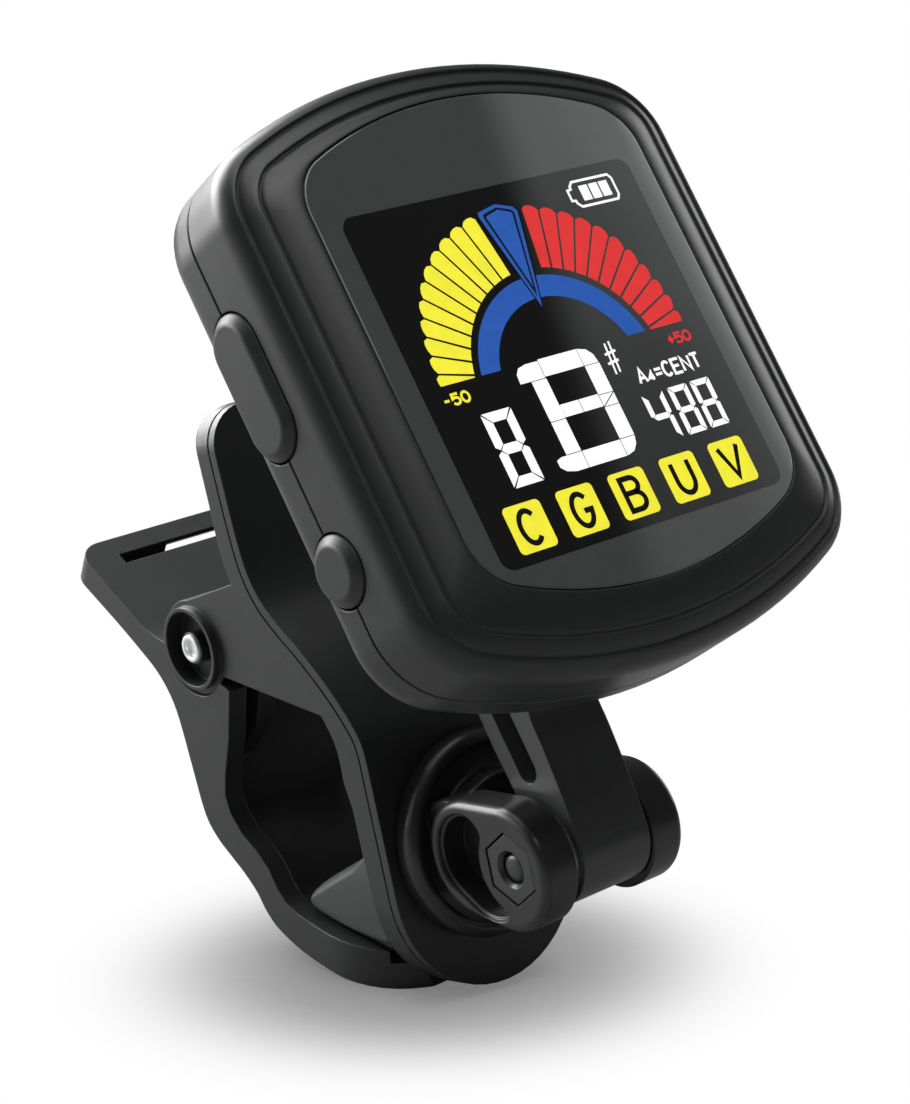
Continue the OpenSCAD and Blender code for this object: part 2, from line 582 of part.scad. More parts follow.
// Steps of the front pad: [half width, share of the way from middle to flank outline]
PAD_STEPS = [[6.6, 0], [7.5, 0.35], [8.4, 1]];
module pad_outline(share) polygon(concat(
  [for (down = [-1.1, 7]) jaw_point(down, jaw_t + 0.02)],
  curve([for (i = [0:len(PAD_MIDDLE) - 1])
    PAD_MIDDLE[i] * (1 - share) + PAD_FLANK[i] * share], 4)));
module front_pad() color([0.22, 0.23, 0.23])
  for (s = PAD_STEPS) along_x(-s[0], s[0]) pad_outline(s[1]);
// Line of points moved sideways by a distance
function shifted(line, distance) = [for (i = [0:len(line) - 1])
  let(t = line[min(i + 1, len(line) - 1)] - line[max(i - 1, 0)])
  line[i] + distance * [t[1], -t[0]] / norm(t)];
// Stretch of the rear jaw's inner face that the thin rear pad lies along
PAD_LINE = let(face = curve(REAR_IN, 3)) [for (i = [47:56]) face[i]];
module rear_pad() color([0.2, 0.2, 0.2]) along_x(-6.4, 6.4)
  polygon(concat(shifted(PAD_LINE, 0.03), reversed(shifted(PAD_LINE, 0.75))));

front_case();
rear_case();
front_lens();
display_panel();
backlight();
flex_cable();
main_board();
board_chips();
tact_switches();
power_button();
mode_button();
coin_cell();
cell_contact_top();
cell_contact_side();
battery_cover();
cover_seal();
piezo_disc();
case_screws();
head_arm();
arm_screws();
swivel_yoke();
hinge_bolt();
hinge_nut();
friction_washers();
swivel_screw();
swivel_washer();
front_lever();
rear_lever();
pivot_pin();
torsion_spring();
front_pad();
rear_pad();
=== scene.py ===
"""A clip-on tuner: a display head on an arm, a swivelling yoke, and a sprung clip below.

x runs across the head, y from its display (negative) to its back, z up. The display faces -y
and the buttons are on the -x side. Shapes are in mm; MM takes them to metres.
Outlines drawn face-on are lists of (x, z); outlines seen from the side are lists of (y, z).
A shape is a pair (vertices, faces).
"""

import json
import math
import random

import bmesh
import bpy
from mathutils import Matrix, Vector


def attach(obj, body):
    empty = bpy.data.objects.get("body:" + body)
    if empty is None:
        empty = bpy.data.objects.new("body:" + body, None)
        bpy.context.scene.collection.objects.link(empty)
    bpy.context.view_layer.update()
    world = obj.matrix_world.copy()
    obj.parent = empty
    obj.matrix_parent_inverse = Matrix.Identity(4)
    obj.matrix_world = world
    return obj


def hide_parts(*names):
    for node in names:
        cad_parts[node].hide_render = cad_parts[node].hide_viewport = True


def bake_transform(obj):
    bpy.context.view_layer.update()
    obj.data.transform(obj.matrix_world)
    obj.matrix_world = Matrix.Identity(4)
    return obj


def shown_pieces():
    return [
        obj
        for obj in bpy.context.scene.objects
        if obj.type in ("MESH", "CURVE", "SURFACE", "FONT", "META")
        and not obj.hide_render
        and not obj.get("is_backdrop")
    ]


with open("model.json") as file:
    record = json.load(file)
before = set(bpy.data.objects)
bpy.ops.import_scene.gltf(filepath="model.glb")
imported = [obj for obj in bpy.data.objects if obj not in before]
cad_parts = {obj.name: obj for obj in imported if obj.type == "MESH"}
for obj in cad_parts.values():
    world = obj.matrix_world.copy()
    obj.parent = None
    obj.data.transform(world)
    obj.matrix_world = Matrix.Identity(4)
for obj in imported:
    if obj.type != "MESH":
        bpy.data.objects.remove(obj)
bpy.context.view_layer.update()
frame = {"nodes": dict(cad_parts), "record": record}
random.seed(7)

MM = 0.001
PIVOT_Y, PIVOT_Z = 0.0, 26.5      # axis of the clip's pin
TILT = math.radians(22)           # lean of the front jaw
SWIVEL_Y, SWIVEL_Z = -13.2, 2.0   # where the yoke turns on the front jaw
HINGE_Y = -12.64                  # axis of the yoke's bolt, in the jaw's frame
LENS_Y, SEAM_Y, BACK_Y = -48.35, -41.1, -37.2
HEAD_Z, WINDOW_Z, LENS_Z, CELL_Z = 29.6, 28.5, 30.4, 32.5
LEVER_HALF = 9.4                  # half the width of the front lever
BUTTON_WIDTH = 5.4
# name, CAD node, height, z of the middle
BUTTONS = [("button_long", "power_button", 11.4, 34.3),
           ("button_round", "mode_button", BUTTON_WIDTH, 19.8)]
BODY_OF = {node: body for body, nodes in frame["record"]["behaviour"]["bodies"].items()
           for node in nodes}


# ------------------------------------------------------------------ shader helpers
def set_inputs(tree, node, values):
    """Links the sockets and sets the plain values, keyed by input."""
    for key, value in values.items():
        if isinstance(value, bpy.types.NodeSocket):
            tree.links.new(value, node.inputs[key])
        else:
            node.inputs[key].default_value = value


def add_node(tree, kind, values=None, **settings):
    node = tree.nodes.new("ShaderNode" + kind)
    for key, value in settings.items():
        setattr(node, key, value)
    set_inputs(tree, node, values or {})
    return node


def new_tree(name):
    material = bpy.data.materials.new(name)
    material.use_nodes = True
    tree = material.node_tree
    tree.nodes.clear()
    return material, tree, add_node(tree, "OutputMaterial")


def new_surface(name):
    """A material with a Principled surface."""
    material, tree, output = new_tree(name)
    surface = add_node(tree, "BsdfPrincipled")
    set_inputs(tree, output, {0: surface.outputs[0]})
    return material, tree, surface


def object_place(tree):
    return add_node(tree, "TexCoord").outputs["Object"]


def noise(tree, place, scale, detail=4, rough=0.6):
    values = {"Scale": scale, "Detail": detail, "Roughness": rough, "Vector": place}
    return add_node(tree, "TexNoise", values).outputs["Fac"]


def two_tones(tree, factor, low, high):
    """A ramp between two stops, each (position, colour)."""
    node = add_node(tree, "ValToRGB", {0: factor})
    for element, (position, colour) in zip(node.color_ramp.elements, (low, high)):
        element.position = position
        element.color = (*colour, 1)
    return node.outputs[0]


def maths(tree, operation, *values):
    return add_node(tree, "Math", dict(enumerate(values)), operation=operation).outputs[0]


def map_range(tree, value, from_min=0.0, from_max=1.0, to_min=0.0, to_max=1.0, kind="LINEAR"):
    values = {"From Min": from_min, "From Max": from_max,
              "To Min": to_min, "To Max": to_max, "Value": value}
    return add_node(tree, "MapRange", values, interpolation_type=kind).outputs[0]


def smooth_step(tree, value, start, end, low=0.0, high=1.0):
    """Smooth rise from low at start to high at end."""
    return map_range(tree, value, start, end, low, high, "SMOOTHSTEP")


# ------------------------------------------------------------------ materials
def plastic(name, base, rough=0.42, grain=2600, bump=0.35, scuff_and_highlight=0.10, spec=0.5, edge=0.16,
            vary=0.10, metal=0.0, scratched=False):
    """Moulded or metal surface with grain, mottling and lighter edges, scuffed and with a painted
    highlight.

    grain is the scale of the fine relief and bump its strength, wear the lightening of the
    edges (scuffs, and a painted highlight), edge their radius in mm, vary the share by
    which the colour drifts.
    """
    material, tree, surface = new_surface(name)
    place = object_place(tree)
    colour = two_tones(tree, noise(tree, place, scale=130, detail=3, rough=0.5),
                       (0.3, tuple(c * (1 - vary) for c in base)),
                       (0.7, tuple(min(1, c * (1 + vary)) for c in base)))
    # edges are where the rounded normal leaves the true one
    rounded_normal = add_node(tree, "Bevel", {"Radius": edge * MM}, samples=4).outputs[0]
    true_normal = add_node(tree, "NewGeometry").outputs["Normal"]
    agreement = add_node(tree, "VectorMath", {0: rounded_normal, 1: true_normal},
                         operation="DOT_PRODUCT").outputs["Value"]
    patches = noise(tree, place, scale=grain * 0.25, detail=3, rough=0.7)
    at_edge = map_range(tree, agreement, from_min=0.995, from_max=0.80)
    # lighter edges: scuffs, and a painted highlight along them
    scuff_and_highlight_mask = maths(tree, "MULTIPLY", at_edge, patches)
    scuff_and_highlight_colour = (*[min(1, c + scuff_and_highlight) for c in base], 1)
    mix = add_node(tree, "Mix", {"B": scuff_and_highlight_colour, "Factor": scuff_and_highlight_mask, "A": colour},
                   data_type="RGBA")
    gloss = map_range(tree, noise(tree, place, scale=420, detail=5, rough=0.65),
                      to_min=rough - 0.06, to_max=rough + 0.07)
    height = noise(tree, place, scale=grain, detail=3, rough=0.6)
    if scratched:
        stretched = add_node(tree, "Mapping", {"Scale": (60, 4000, 4000), 0: place}).outputs[0]
        lines = add_node(tree, "TexNoise", {"Vector": stretched, "Scale": 1}).outputs["Fac"]
        height = maths(tree, "ADD", lines, height)
    relief = add_node(tree, "Bump", {"Strength": bump, "Distance": 0.00002,
                                     "Height": height, "Normal": rounded_normal})
    set_inputs(tree, surface, {
        "Base Color": mix.outputs["Result"], "Roughness": gloss, "Normal": relief.outputs[0],
        "Metallic": metal, "Specular IOR Level": spec, "Coat Weight": 0.0,
        "Coat Roughness": 0.12})
    return material


# strength of the painted reflection: a pale glare that glows on the cover
PAINTED_GLARE_LOW, PAINTED_GLARE_HIGH = 0.026, 0.055   # main part, at the bottom and the top
PAINTED_GLARE_RIGHT, PAINTED_GLARE_RIM = 0.026, 0.085  # added towards +x, and again at the +x rim


def print_with_painted_glare(name, base, sheen):
    """Clear gloss over a flat print, with a painted reflection: a soft glare that glows from a
    slanting edge towards +x.
    """
    material, tree, surface = new_surface(name)
    place = object_place(tree)
    axes = add_node(tree, "SeparateXYZ", {0: place}).outputs
    x = maths(tree, "MULTIPLY", axes["X"], 1000.0)
    z = maths(tree, "MULTIPLY", axes["Z"], 1000.0)
    # painted reflection, given as emission: stronger towards the top and towards +x
    glare_start = maths(tree, "MULTIPLY_ADD", z, 0.16, -6.0)
    glare_full = maths(tree, "ADD", glare_start, 5.0)
    main = smooth_step(tree, x, glare_start, glare_full)
    painted_glare = maths(tree, "MULTIPLY", main, smooth_step(tree, z, 12.0, 42.0, PAINTED_GLARE_LOW, PAINTED_GLARE_HIGH))
    painted_glare = maths(tree, "ADD", painted_glare, smooth_step(tree, x, 7.0, 15.0, high=PAINTED_GLARE_RIGHT))
    painted_glare = maths(tree, "ADD", painted_glare, smooth_step(tree, x, 14.4, 16.4, high=PAINTED_GLARE_RIM))
    speck = noise(tree, place, scale=900)
    uneven = noise(tree, place, scale=60, detail=3, rough=0.5)
    painted_glare = maths(tree, "MULTIPLY", painted_glare,
                 smooth_step(tree, uneven, 0.2, 0.8, 0.90 * sheen, 1.08 * sheen))
    colour = two_tones(tree, speck, (0.2, tuple(c * 0.94 for c in base)),
                       (0.8, tuple(c * 1.05 for c in base)))
    relief = add_node(tree, "Bump", {"Strength": 0.05, "Distance": 0.00001, "Height": speck})
    set_inputs(tree, surface, {
        "Base Color": colour, "Emission Color": (0.97, 1.0, 0.99, 1),
        "Emission Strength": painted_glare, "Roughness": map_range(tree, speck, to_min=0.07, to_max=0.13),
        "Normal": relief.outputs[0], "Coat Weight": 0.6, "Coat Roughness": 0.04})
    return material


def lit_print(name, base, glow):
    """A display segment: slightly uneven colour that also glows."""
    material, tree, surface = new_surface(name)
    speck = noise(tree, object_place(tree), scale=700, detail=3)
    colour = two_tones(tree, speck, (0.25, tuple(c * 0.9 for c in base)),
                       (0.75, tuple(min(1, c * 1.04) for c in base)))
    set_inputs(tree, surface, {
        "Base Color": colour, "Emission Color": colour, "Emission Strength": glow,
        "Roughness": map_range(tree, speck, to_min=0.18, to_max=0.3),
        "Specular IOR Level": 0.3})
    return material


MATS = dict(
    case=plastic("case_plastic", (0.019, 0.0205, 0.0202), rough=0.36, grain=3800, bump=0.22,
                 scuff_and_highlight=0.05, spec=0.55),
    # the lens print and the black window both carry the painted reflection
    lens=print_with_painted_glare("lens_print_painted_glare", (0.086, 0.092, 0.091), sheen=1.0),
    glass=print_with_painted_glare("display_black_painted_glare", (0.0055, 0.0055, 0.006), sheen=0.85),
    button=plastic("button_plastic", (0.022, 0.0235, 0.0232), grain=3600, bump=0.25, scuff_and_highlight=0.05),
    clip=plastic("clip_plastic", (0.0195, 0.0208, 0.0205), rough=0.40, grain=3200, bump=0.30,
                 scuff_and_highlight=0.06),
    arm=plastic("arm_plastic", (0.0205, 0.0215, 0.021), rough=0.30, grain=3400, bump=0.16,
                scuff_and_highlight=0.06, spec=0.55),
    # the arm plastic again, made lighter on the head's arm: painted light
    head_arm=plastic("arm_plastic_painted_lighter", (0.044, 0.046, 0.0452), rough=0.34, grain=3400,
                     bump=0.18, scuff_and_highlight=0.06, spec=0.55),
    pad=plastic("pad_rubber", (0.040, 0.043, 0.0425), rough=0.50, grain=2200, bump=0.5,
                scuff_and_highlight=0.04, edge=0.3, vary=0.15),
    seal=plastic("seal_rubber", (0.015, 0.015, 0.015), rough=0.6, bump=0.5),
    # near-black for the sheet in the seam: painted shade
    gap=plastic("gap_painted_shade", (0.006, 0.006, 0.006), rough=0.7, bump=0.3, scuff_and_highlight=0.0),
    steel=plastic("dark_steel", (0.12, 0.12, 0.125), rough=0.34, metal=1.0, bump=0.3,
                  scuff_and_highlight=0.25, scratched=True),
    nut=plastic("nut_dark", (0.030, 0.0315, 0.031), rough=0.34, grain=3000, bump=0.2,
                scuff_and_highlight=0.06, spec=0.6),
    spring=plastic("spring_steel", (0.42, 0.43, 0.44), rough=0.28, metal=1.0, bump=0.2,
                   scuff_and_highlight=0.2),
    pin=plastic("pin_steel", (0.90, 0.91, 0.92), rough=0.34, metal=0.55, bump=0.10,
                scuff_and_highlight=0.05, scratched=True),
    washer=plastic("washer_steel", (0.55, 0.56, 0.58), rough=0.3, metal=1.0, bump=0.3,
                   scuff_and_highlight=0.2, scratched=True),
    cell=plastic("cell_steel", (0.62, 0.63, 0.65), rough=0.25, metal=1.0, bump=0.25,
                 scuff_and_highlight=0.15, scratched=True),
    brass=plastic("contact_brass", (0.72, 0.53, 0.22), rough=0.3, metal=1.0, bump=0.25,
                  scuff_and_highlight=0.15),
    board=plastic("board_mask", (0.015, 0.10, 0.045), rough=0.35, grain=1800, bump=0.4),
    flex=plastic("flex_film", (0.45, 0.20, 0.03), rough=0.3, bump=0.15),
    diffuser=plastic("diffuser_white", (0.8, 0.82, 0.8), rough=0.5, bump=0.2, scuff_and_highlight=0.05),
    chip=plastic("chip_black", (0.02, 0.02, 0.022), rough=0.55, bump=0.5),
    tact=plastic("switch_metal", (0.6, 0.61, 0.63), rough=0.3, metal=1.0, bump=0.3,
                 scratched=True),
    white=lit_print("segment_white", (0.84, 0.85, 0.84), glow=0.80),
    yellow=lit_print("segment_yellow", (0.86, 0.80, 0.046), glow=0.64),
    red=lit_print("segment_red", (0.78, 0.044, 0.045), glow=0.52),
    blue=lit_print("segment_blue", (0.026, 0.105, 0.43), glow=0.55),
    ink=lit_print("segment_ink", (0.012, 0.012, 0.012), glow=0.0),
    mark=lit_print("print_grey", (0.36, 0.37, 0.37), glow=0.0),  # spare: no piece wears it
)

# CAD node: (material, slot)
CAD_MATS = dict(
    display_panel=("glass", "display"), backlight=("diffuser", "diffuser"),
    flex_cable=("flex", "flex_film"), main_board=("board", "board"),
    board_chips=("chip", "chip_plastic"), tact_switches=("tact", "switch_metal"),
    coin_cell=("cell", "cell_steel"), cell_contact_top=("brass", "contact_brass"),
    cell_contact_side=("cell", "cell_steel"), battery_cover=("case", "case_plastic"),
    cover_seal=("seal", "seal_rubber"), piezo_disc=("brass", "contact_brass"),
    case_screws=("steel", "dark_steel"), head_arm=("head_arm", "arm_plastic"),
    arm_screws=("steel", "dark_steel"), swivel_yoke=("arm", "arm_plastic"),
    hinge_bolt=("steel", "dark_steel"), hinge_nut=("arm", "dark_steel"),
    friction_washers=("washer", "washer_steel"), swivel_screw=("steel", "dark_steel"),
    swivel_washer=("washer", "washer_steel"), front_lever=("clip", "clip_plastic"),
    rear_lever=("clip", "clip_plastic"), pivot_pin=("pin", "pin_steel"),
    torsion_spring=("spring", "spring_steel"), front_pad=("pad", "pad_rubber"),
    rear_pad=("pad", "pad_rubber"), front_case=("case", "case_plastic"),
    rear_case=("case", "case_plastic"), front_lens=("lens", "lens_panel"),
    power_button=("button", "button_plastic"), mode_button=("button", "button_plastic"))
for node_name, (mat_key, _) in CAD_MATS.items():
    cad_mesh = frame["nodes"][node_name].data
    cad_mesh.materials.clear()
    cad_mesh.materials.append(MATS[mat_key])


# ------------------------------------------------------------------ making pieces
def clean_mesh(name, shape, merge, validate=False):
    """A mesh in metres from a shape in mm, with doubles merged and normals outwards."""
    verts, faces = shape
    mesh = bpy.data.meshes.new(name)
    mesh.from_pydata([tuple(c * MM for c in v) for v in verts], [], faces)
    if validate:
        mesh.validate()
    bm = bmesh.new()
    bm.from_mesh(mesh)
    bmesh.ops.remove_doubles(bm, verts=bm.verts, dist=merge)
    bmesh.ops.recalc_face_normals(bm, faces=bm.faces)
    bm.to_mesh(mesh)
    bm.free()
    return mesh


def sharpen(mesh, angle):
    """Marks the edges that fold by more than the angle as sharp."""
    bm = bmesh.new()
    bm.from_mesh(mesh)
    limit = math.radians(angle)
    for edge in bm.edges:
        edge.smooth = len(edge.link_faces) == 2 and edge.calc_face_angle(0) < limit
    bm.to_mesh(mesh)
    bm.free()


def finish_piece(name, mesh, body, mat, slot, replaces=(), smooth=True, flat_angle=32):
    mesh.materials.clear()
    mesh.materials.append(MATS[mat])
    for polygon in mesh.polygons:
        polygon.use_smooth = smooth
    if smooth:
        sharpen(mesh, flat_angle)
    piece = bpy.data.objects.new(name, mesh)
    bpy.context.scene.collection.objects.link(piece)
    if body:
        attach(piece, body)
    if replaces:
        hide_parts(*replaces)
    return piece


def make(name, shape, *args, **options):
    mesh = clean_mesh(name, shape, merge=1e-6, validate=True)
    return finish_piece(name, mesh, *args, **options)


def finish_rough(rough, name, *args, **options):
    """Puts a finished piece in the place of a rough object, on the same mesh."""
    mesh = rough.data
    bpy.data.objects.remove(rough)
    return finish_piece(name, mesh, *args, **options)


def add_modifiers(piece, width=0, segments=3, angle=28):
    """Rounded edges, where a width is given, and weighted normals."""
    if width:
        bevel = piece.modifiers.new("round_edges", "BEVEL")
        bevel.width = width * MM
        bevel.segments = segments
        bevel.limit_method = "ANGLE"
        bevel.angle_limit = math.radians(angle)
        bevel.use_clamp_overlap = True
        bevel.miter_outer = "MITER_ARC"
    normals = piece.modifiers.new("normals", "WEIGHTED_NORMAL")
    normals.keep_sharp = True
    normals.weight = 50


def apply_modifiers(piece):
    bpy.context.view_layer.update()
    depsgraph = bpy.context.evaluated_depsgraph_get()
    mesh = bpy.data.meshes.new_from_object(piece.evaluated_get(depsgraph))
    old = piece.data
    piece.modifiers.clear()
    piece.data = mesh
    bpy.data.meshes.remove(old)


def solid(shape, name="cutter"):
    """A loose closed object."""
    loose = bpy.data.objects.new(name, clean_mesh(name, shape, merge=1e-7))
    bpy.context.scene.collection.objects.link(loose)
    return loose


def cut(piece, cutters, operation="DIFFERENCE"):
    """Takes shapes or loose objects out of the piece, or joins them to it."""
    loose = [solid(c) if isinstance(c, tuple) else c for c in cutters]
    for k, cutter in enumerate(loose):
        boolean = piece.modifiers.new(f"cut{k}", "BOOLEAN")
        boolean.operation = operation
        boolean.solver = "EXACT"
        boolean.object = cutter
    apply_modifiers(piece)
    for cutter in loose:
        mesh = cutter.data
        bpy.data.objects.remove(cutter)
        bpy.data.meshes.remove(mesh)


def copy_cad(node, name):
    """A copy of a CAD node's mesh with doubles merged, still open as a bmesh."""
    bm = bmesh.new()
    bm.from_mesh(frame["nodes"][node].data)
    bmesh.ops.remove_doubles(bm, verts=bm.verts, dist=2e-6)
    return bpy.data.meshes.new(name), bm


def remake(node, width, segments, angle, cutters=()):
    """A copy of a CAD node with flat faces merged and edges rounded; it stands for the node."""
    mesh, bm = copy_cad(node, node + "_looks")
    bmesh.ops.dissolve_limit(bm, angle_limit=math.radians(0.6), verts=bm.verts, edges=bm.edges)
    bmesh.ops.recalc_face_normals(bm, faces=bm.faces)
    bm.to_mesh(mesh)
    bm.free()
    mat, slot = CAD_MATS[node]
    if cutters:
        rough = finish_piece(node + "_rough", mesh, None, mat, slot, flat_angle=angle)
        add_modifiers(rough, width, segments, angle)
        apply_modifiers(rough)
        cut(rough, cutters)
        mesh = rough.data
        bpy.data.objects.remove(rough)
        width = 0
    piece = finish_piece(node + "_looks", mesh, BODY_OF[node], mat, slot, (node,),
                         flat_angle=angle)
    add_modifiers(piece, width, segments, angle)


# ------------------------------------------------------------------ outlines
def arc(centre_x, centre_z, radius, start, end, steps):
    """Points along an arc, angles in degrees."""
    turns = [math.radians(start + (end - start) * i / steps) for i in range(steps + 1)]
    return [(centre_x + radius * math.cos(t), centre_z + radius * math.sin(t)) for t in turns]


def circle(centre_x, centre_z, radius, steps=64):
    return arc(centre_x, centre_z, radius, 0, 360, steps)[:-1]


def box_outline(x0, z0, x1, z1):
    return [(x0, z0), (x1, z0), (x1, z1), (x0, z1)]


def rounded_box(x0, z0, x1, z1, r, steps=8):
    return (arc(x1 - r, z1 - r, r, 0, 90, steps) + arc(x0 + r, z1 - r, r, 90, 180, steps)
            + arc(x0 + r, z0 + r, r, 180, 270, steps) + arc(x1 - r, z0 + r, r, 270, 360, steps))


def arched(width, height, bow, corner, centre_z, inset):
    """Box with bowed top and bottom of radius bow, straight sides and round corners."""
    corner_steps, bow_steps, side_steps = 12, 22, 6
    cx = width / 2 - corner
    cz = height / 2 - bow + math.sqrt((bow - corner) ** 2 - cx ** 2)
    turn = math.degrees(math.atan2(cz - (height / 2 - bow), cx))
    r, side_x = corner - inset, -width / 2 + inset
    top = arc(0, height / 2 - bow, bow - inset, turn, 180 - turn, bow_steps)[1:-1]
    bottom = arc(0, bow - height / 2, bow - inset, 180 + turn, 360 - turn, bow_steps)[1:-1]
    down = [cz + (-cz - cz) * k / side_steps for k in range(1, side_steps)]
    rise = [-cz + (cz + cz) * k / side_steps for k in range(1, side_steps)]
    points = arc(cx, cz, r, 0, turn, corner_steps) + top
    points += arc(-cx, cz, r, 180 - turn, 180, corner_steps) + [(side_x, z) for z in down]
    points += arc(-cx, -cz, r, 180, 180 + turn, corner_steps) + bottom
    points += arc(cx, -cz, r, 360 - turn, 360, corner_steps) + [(-side_x, z) for z in rise]
    return [(x, z + centre_z) for x, z in points]


def head_ring(inset):
    return arched(43, 49, 45, 6.5, HEAD_Z, inset)


def lens_ring(inset):
    return arched(32.2, 39.4, 34, 4.5, LENS_Z, inset)


def button_outline(z, height, grow, steps):
    """Stadium, or circle where it is as high as wide, as (y, z)."""
    radius, straight = BUTTON_WIDTH / 2 + grow, (height - BUTTON_WIDTH) / 2
    if straight < 0.01:
        return circle(SEAM_Y, z, radius, 2 * steps)
    return (arc(SEAM_Y, z + straight, radius, 0, 180, steps)
            + arc(SEAM_Y, z - straight, radius, 180, 360, steps))


def around_two(centre0, radius0, centre1, radius1, steps):
    """Outline round two circles, in steps of equal normal direction."""
    points = []
    for k in range(steps):
        a = 2 * math.pi * k / steps
        dx, dz = math.cos(a), math.sin(a)
        reach0 = centre0[0] * dx + centre0[1] * dz + radius0
        reach1 = centre1[0] * dx + centre1[1] * dz + radius1
        centre, radius = (centre0, radius0) if reach0 >= reach1 else (centre1, radius1)
        points.append((centre[0] + radius * dx, centre[1] + radius * dz))
    return points


def smooth_outline(points, rounds):
    for _ in range(rounds):
        n = len(points)
        points = [tuple((points[k - 1][c] + 2 * points[k][c] + points[(k + 1) % n][c]) / 4
                        for c in (0, 1)) for k in range(n)]
    return points


def offset(points, distance, closed=False):
    """Points moved to the right of the direction they run in."""
    moved, n = [], len(points)
    for k, (x, z) in enumerate(points):
        before = points[k - 1] if closed else points[max(k - 1, 0)]
        after = points[(k + 1) % n] if closed else points[min(k + 1, n - 1)]
        run_x, run_z = after[0] - before[0], after[1] - before[1]
        length = math.hypot(run_x, run_z) or 1
        moved.append((x + run_z / length * distance, z - run_x / length * distance))
    return moved


def evenly(points, count):
    """Closed outline resampled to evenly spaced points."""
    spans = [math.dist(points[k], points[(k + 1) % len(points)]) for k in range(len(points))]
    total, result, k, passed = sum(spans), [], 0, 0.0
    for i in range(count):
        target = total * i / count
        while passed + spans[k] < target:
            passed += spans[k]
            k += 1
        t = (target - passed) / (spans[k] or 1)
        result += mix_rings([points[k]], [points[(k + 1) % len(points)]], t)
    return result


def mix_rings(ring_a, ring_b, t):
    return [(p[0] + (q[0] - p[0]) * t, p[1] + (q[1] - p[1]) * t) for p, q in zip(ring_a, ring_b)]


def catmull_rom(a, b, c, d, t):
    return 0.5 * (2 * b + (c - a) * t + (2 * a - 5 * b + 4 * c - d) * t * t
                  + (3 * b - a - 3 * c + d) * t ** 3)


def curve(points, steps):
    """Smooth curve through the points, with the given steps per span."""
    result = []
    for i in range(len(points) - 1):
        near = (points[max(i - 1, 0)], points[i], points[i + 1],
                points[min(i + 2, len(points) - 1)])
        result += [tuple(catmull_rom(*(p[c] for p in near), k / steps) for c in (0, 1))
                   for k in range(steps)]
    return result + [points[-1]]


# ------------------------------------------------------------------ shapes
def skin(verts, size, count, ends=True):
    """Faces between rings of equal size, and over the two ends."""
    faces = []
    for r in range(count - 1):
        for k in range(size):
            a, b = r * size + k, r * size + (k + 1) % size
            faces.append((a, b, b + size, a + size))
    if ends:
        faces += [tuple(range(size)), tuple(range((count - 1) * size, count * size))]
    return verts, faces


def loft_y(rings, ends=True):
    """rings: (outline in (x, z), y)."""
    verts = [(x, y, z) for outline, y in rings for x, z in outline]
    return skin(verts, len(rings[0][0]), len(rings), ends)


def loft_x(rings):
    """rings: (outline in (y, z), x)."""
    verts = [(x, y, z) for outline, x in rings for y, z in outline]
    return skin(verts, len(rings[0][0]), len(rings))


def prism_y(outline, y0, y1):
    return loft_y([(outline, y0), (outline, y1)])


def prism_x(outline, x0, x1):
    return loft_x([(outline, x0), (outline, x1)])


def turned_y(profile, steps=128):
    """profile: (radius, y)."""
    return loft_y([(circle(0, 0, r, steps), y) for r, y in profile])


def turned_x(profile, centre_y, centre_z, steps=64):
    """profile: (radius, x)."""
    return loft_x([(circle(centre_y, centre_z, r, steps), x) for r, x in profile])


def swelling(outline, stations, side):
    """Loft along x on one side; stations: (x, growth of the outline)."""
    return loft_x([(offset(outline, d, closed=True), side * x) for x, d in stations])


def jaw_point(y, z):
    """(y, z) in the jaw's frame (y out of its face, z up its length) to the model's."""
    return (SWIVEL_Y + y * math.cos(TILT) - z * math.sin(TILT),
            SWIVEL_Z + y * math.sin(TILT) + z * math.cos(TILT))


def on_jaw(shape):
    verts, faces = shape
    return [(x, *jaw_point(y, z)) for x, y, z in verts], faces


# ------------------------------------------------------------------ head shells
def side_holes():
    return [prism_x(button_outline(z, height, 0.17, 20), -24, -18.0)
            for _, _, height, z in BUTTONS]


def cut_shell(name, shape, holes, mat="case", replaces=()):
    rough = make(name, shape, None, mat, "case_plastic")
    cut(rough, holes)
    return finish_rough(rough, name, "head", mat, "case_plastic", replaces, flat_angle=30)


# front shell, (inset, y): inner wall, side, rounded edge, stepped band with two fine grooves
FRONT_PROFILE = [
    (1.6, -46.0), (1.6, -41.15), (0.30, -41.15), (0.06, -41.17), (0.0, -41.24), (0, -43.0),
    (0, -44.8), (0.03, -45.25), (0.12, -45.68), (0.28, -46.05), (0.5, -46.36), (0.74, -46.6),
    (0.92, -46.74), (1.02, -46.78), (1.10, -46.75), (1.16, -46.67), (1.22, -46.60),
    (1.29, -46.60), (1.36, -46.68), (1.50, -46.82), (1.78, -47.02), (2.1, -47.21),
    (2.38, -47.36), (2.50, -47.40), (2.58, -47.37), (2.64, -47.28), (2.70, -47.22),
    (2.77, -47.24), (2.85, -47.35)]
# soft slope to the lens, (share of the way from band to lens, y)
FRONT_SLOPE = [
    (0.08, -47.47), (0.18, -47.60), (0.30, -47.75), (0.42, -47.89), (0.54, -48.02),
    (0.66, -48.13), (0.78, -48.22), (0.88, -48.28), (0.95, -48.31), (0.99, -48.31), (1.0, -48.27)]
band_ring = head_ring(FRONT_PROFILE[-1][0])
lens_hole = lens_ring(-0.07)
front_rings = [(head_ring(inset), y) for inset, y in FRONT_PROFILE]
front_rings += [(mix_rings(band_ring, lens_hole, t), y) for t, y in FRONT_SLOPE]
front_rings.append((lens_hole, -47.22))
add_modifiers(cut_shell("head_front_shell", loft_y(front_rings), side_holes(),
                        replaces=("front_case",)))

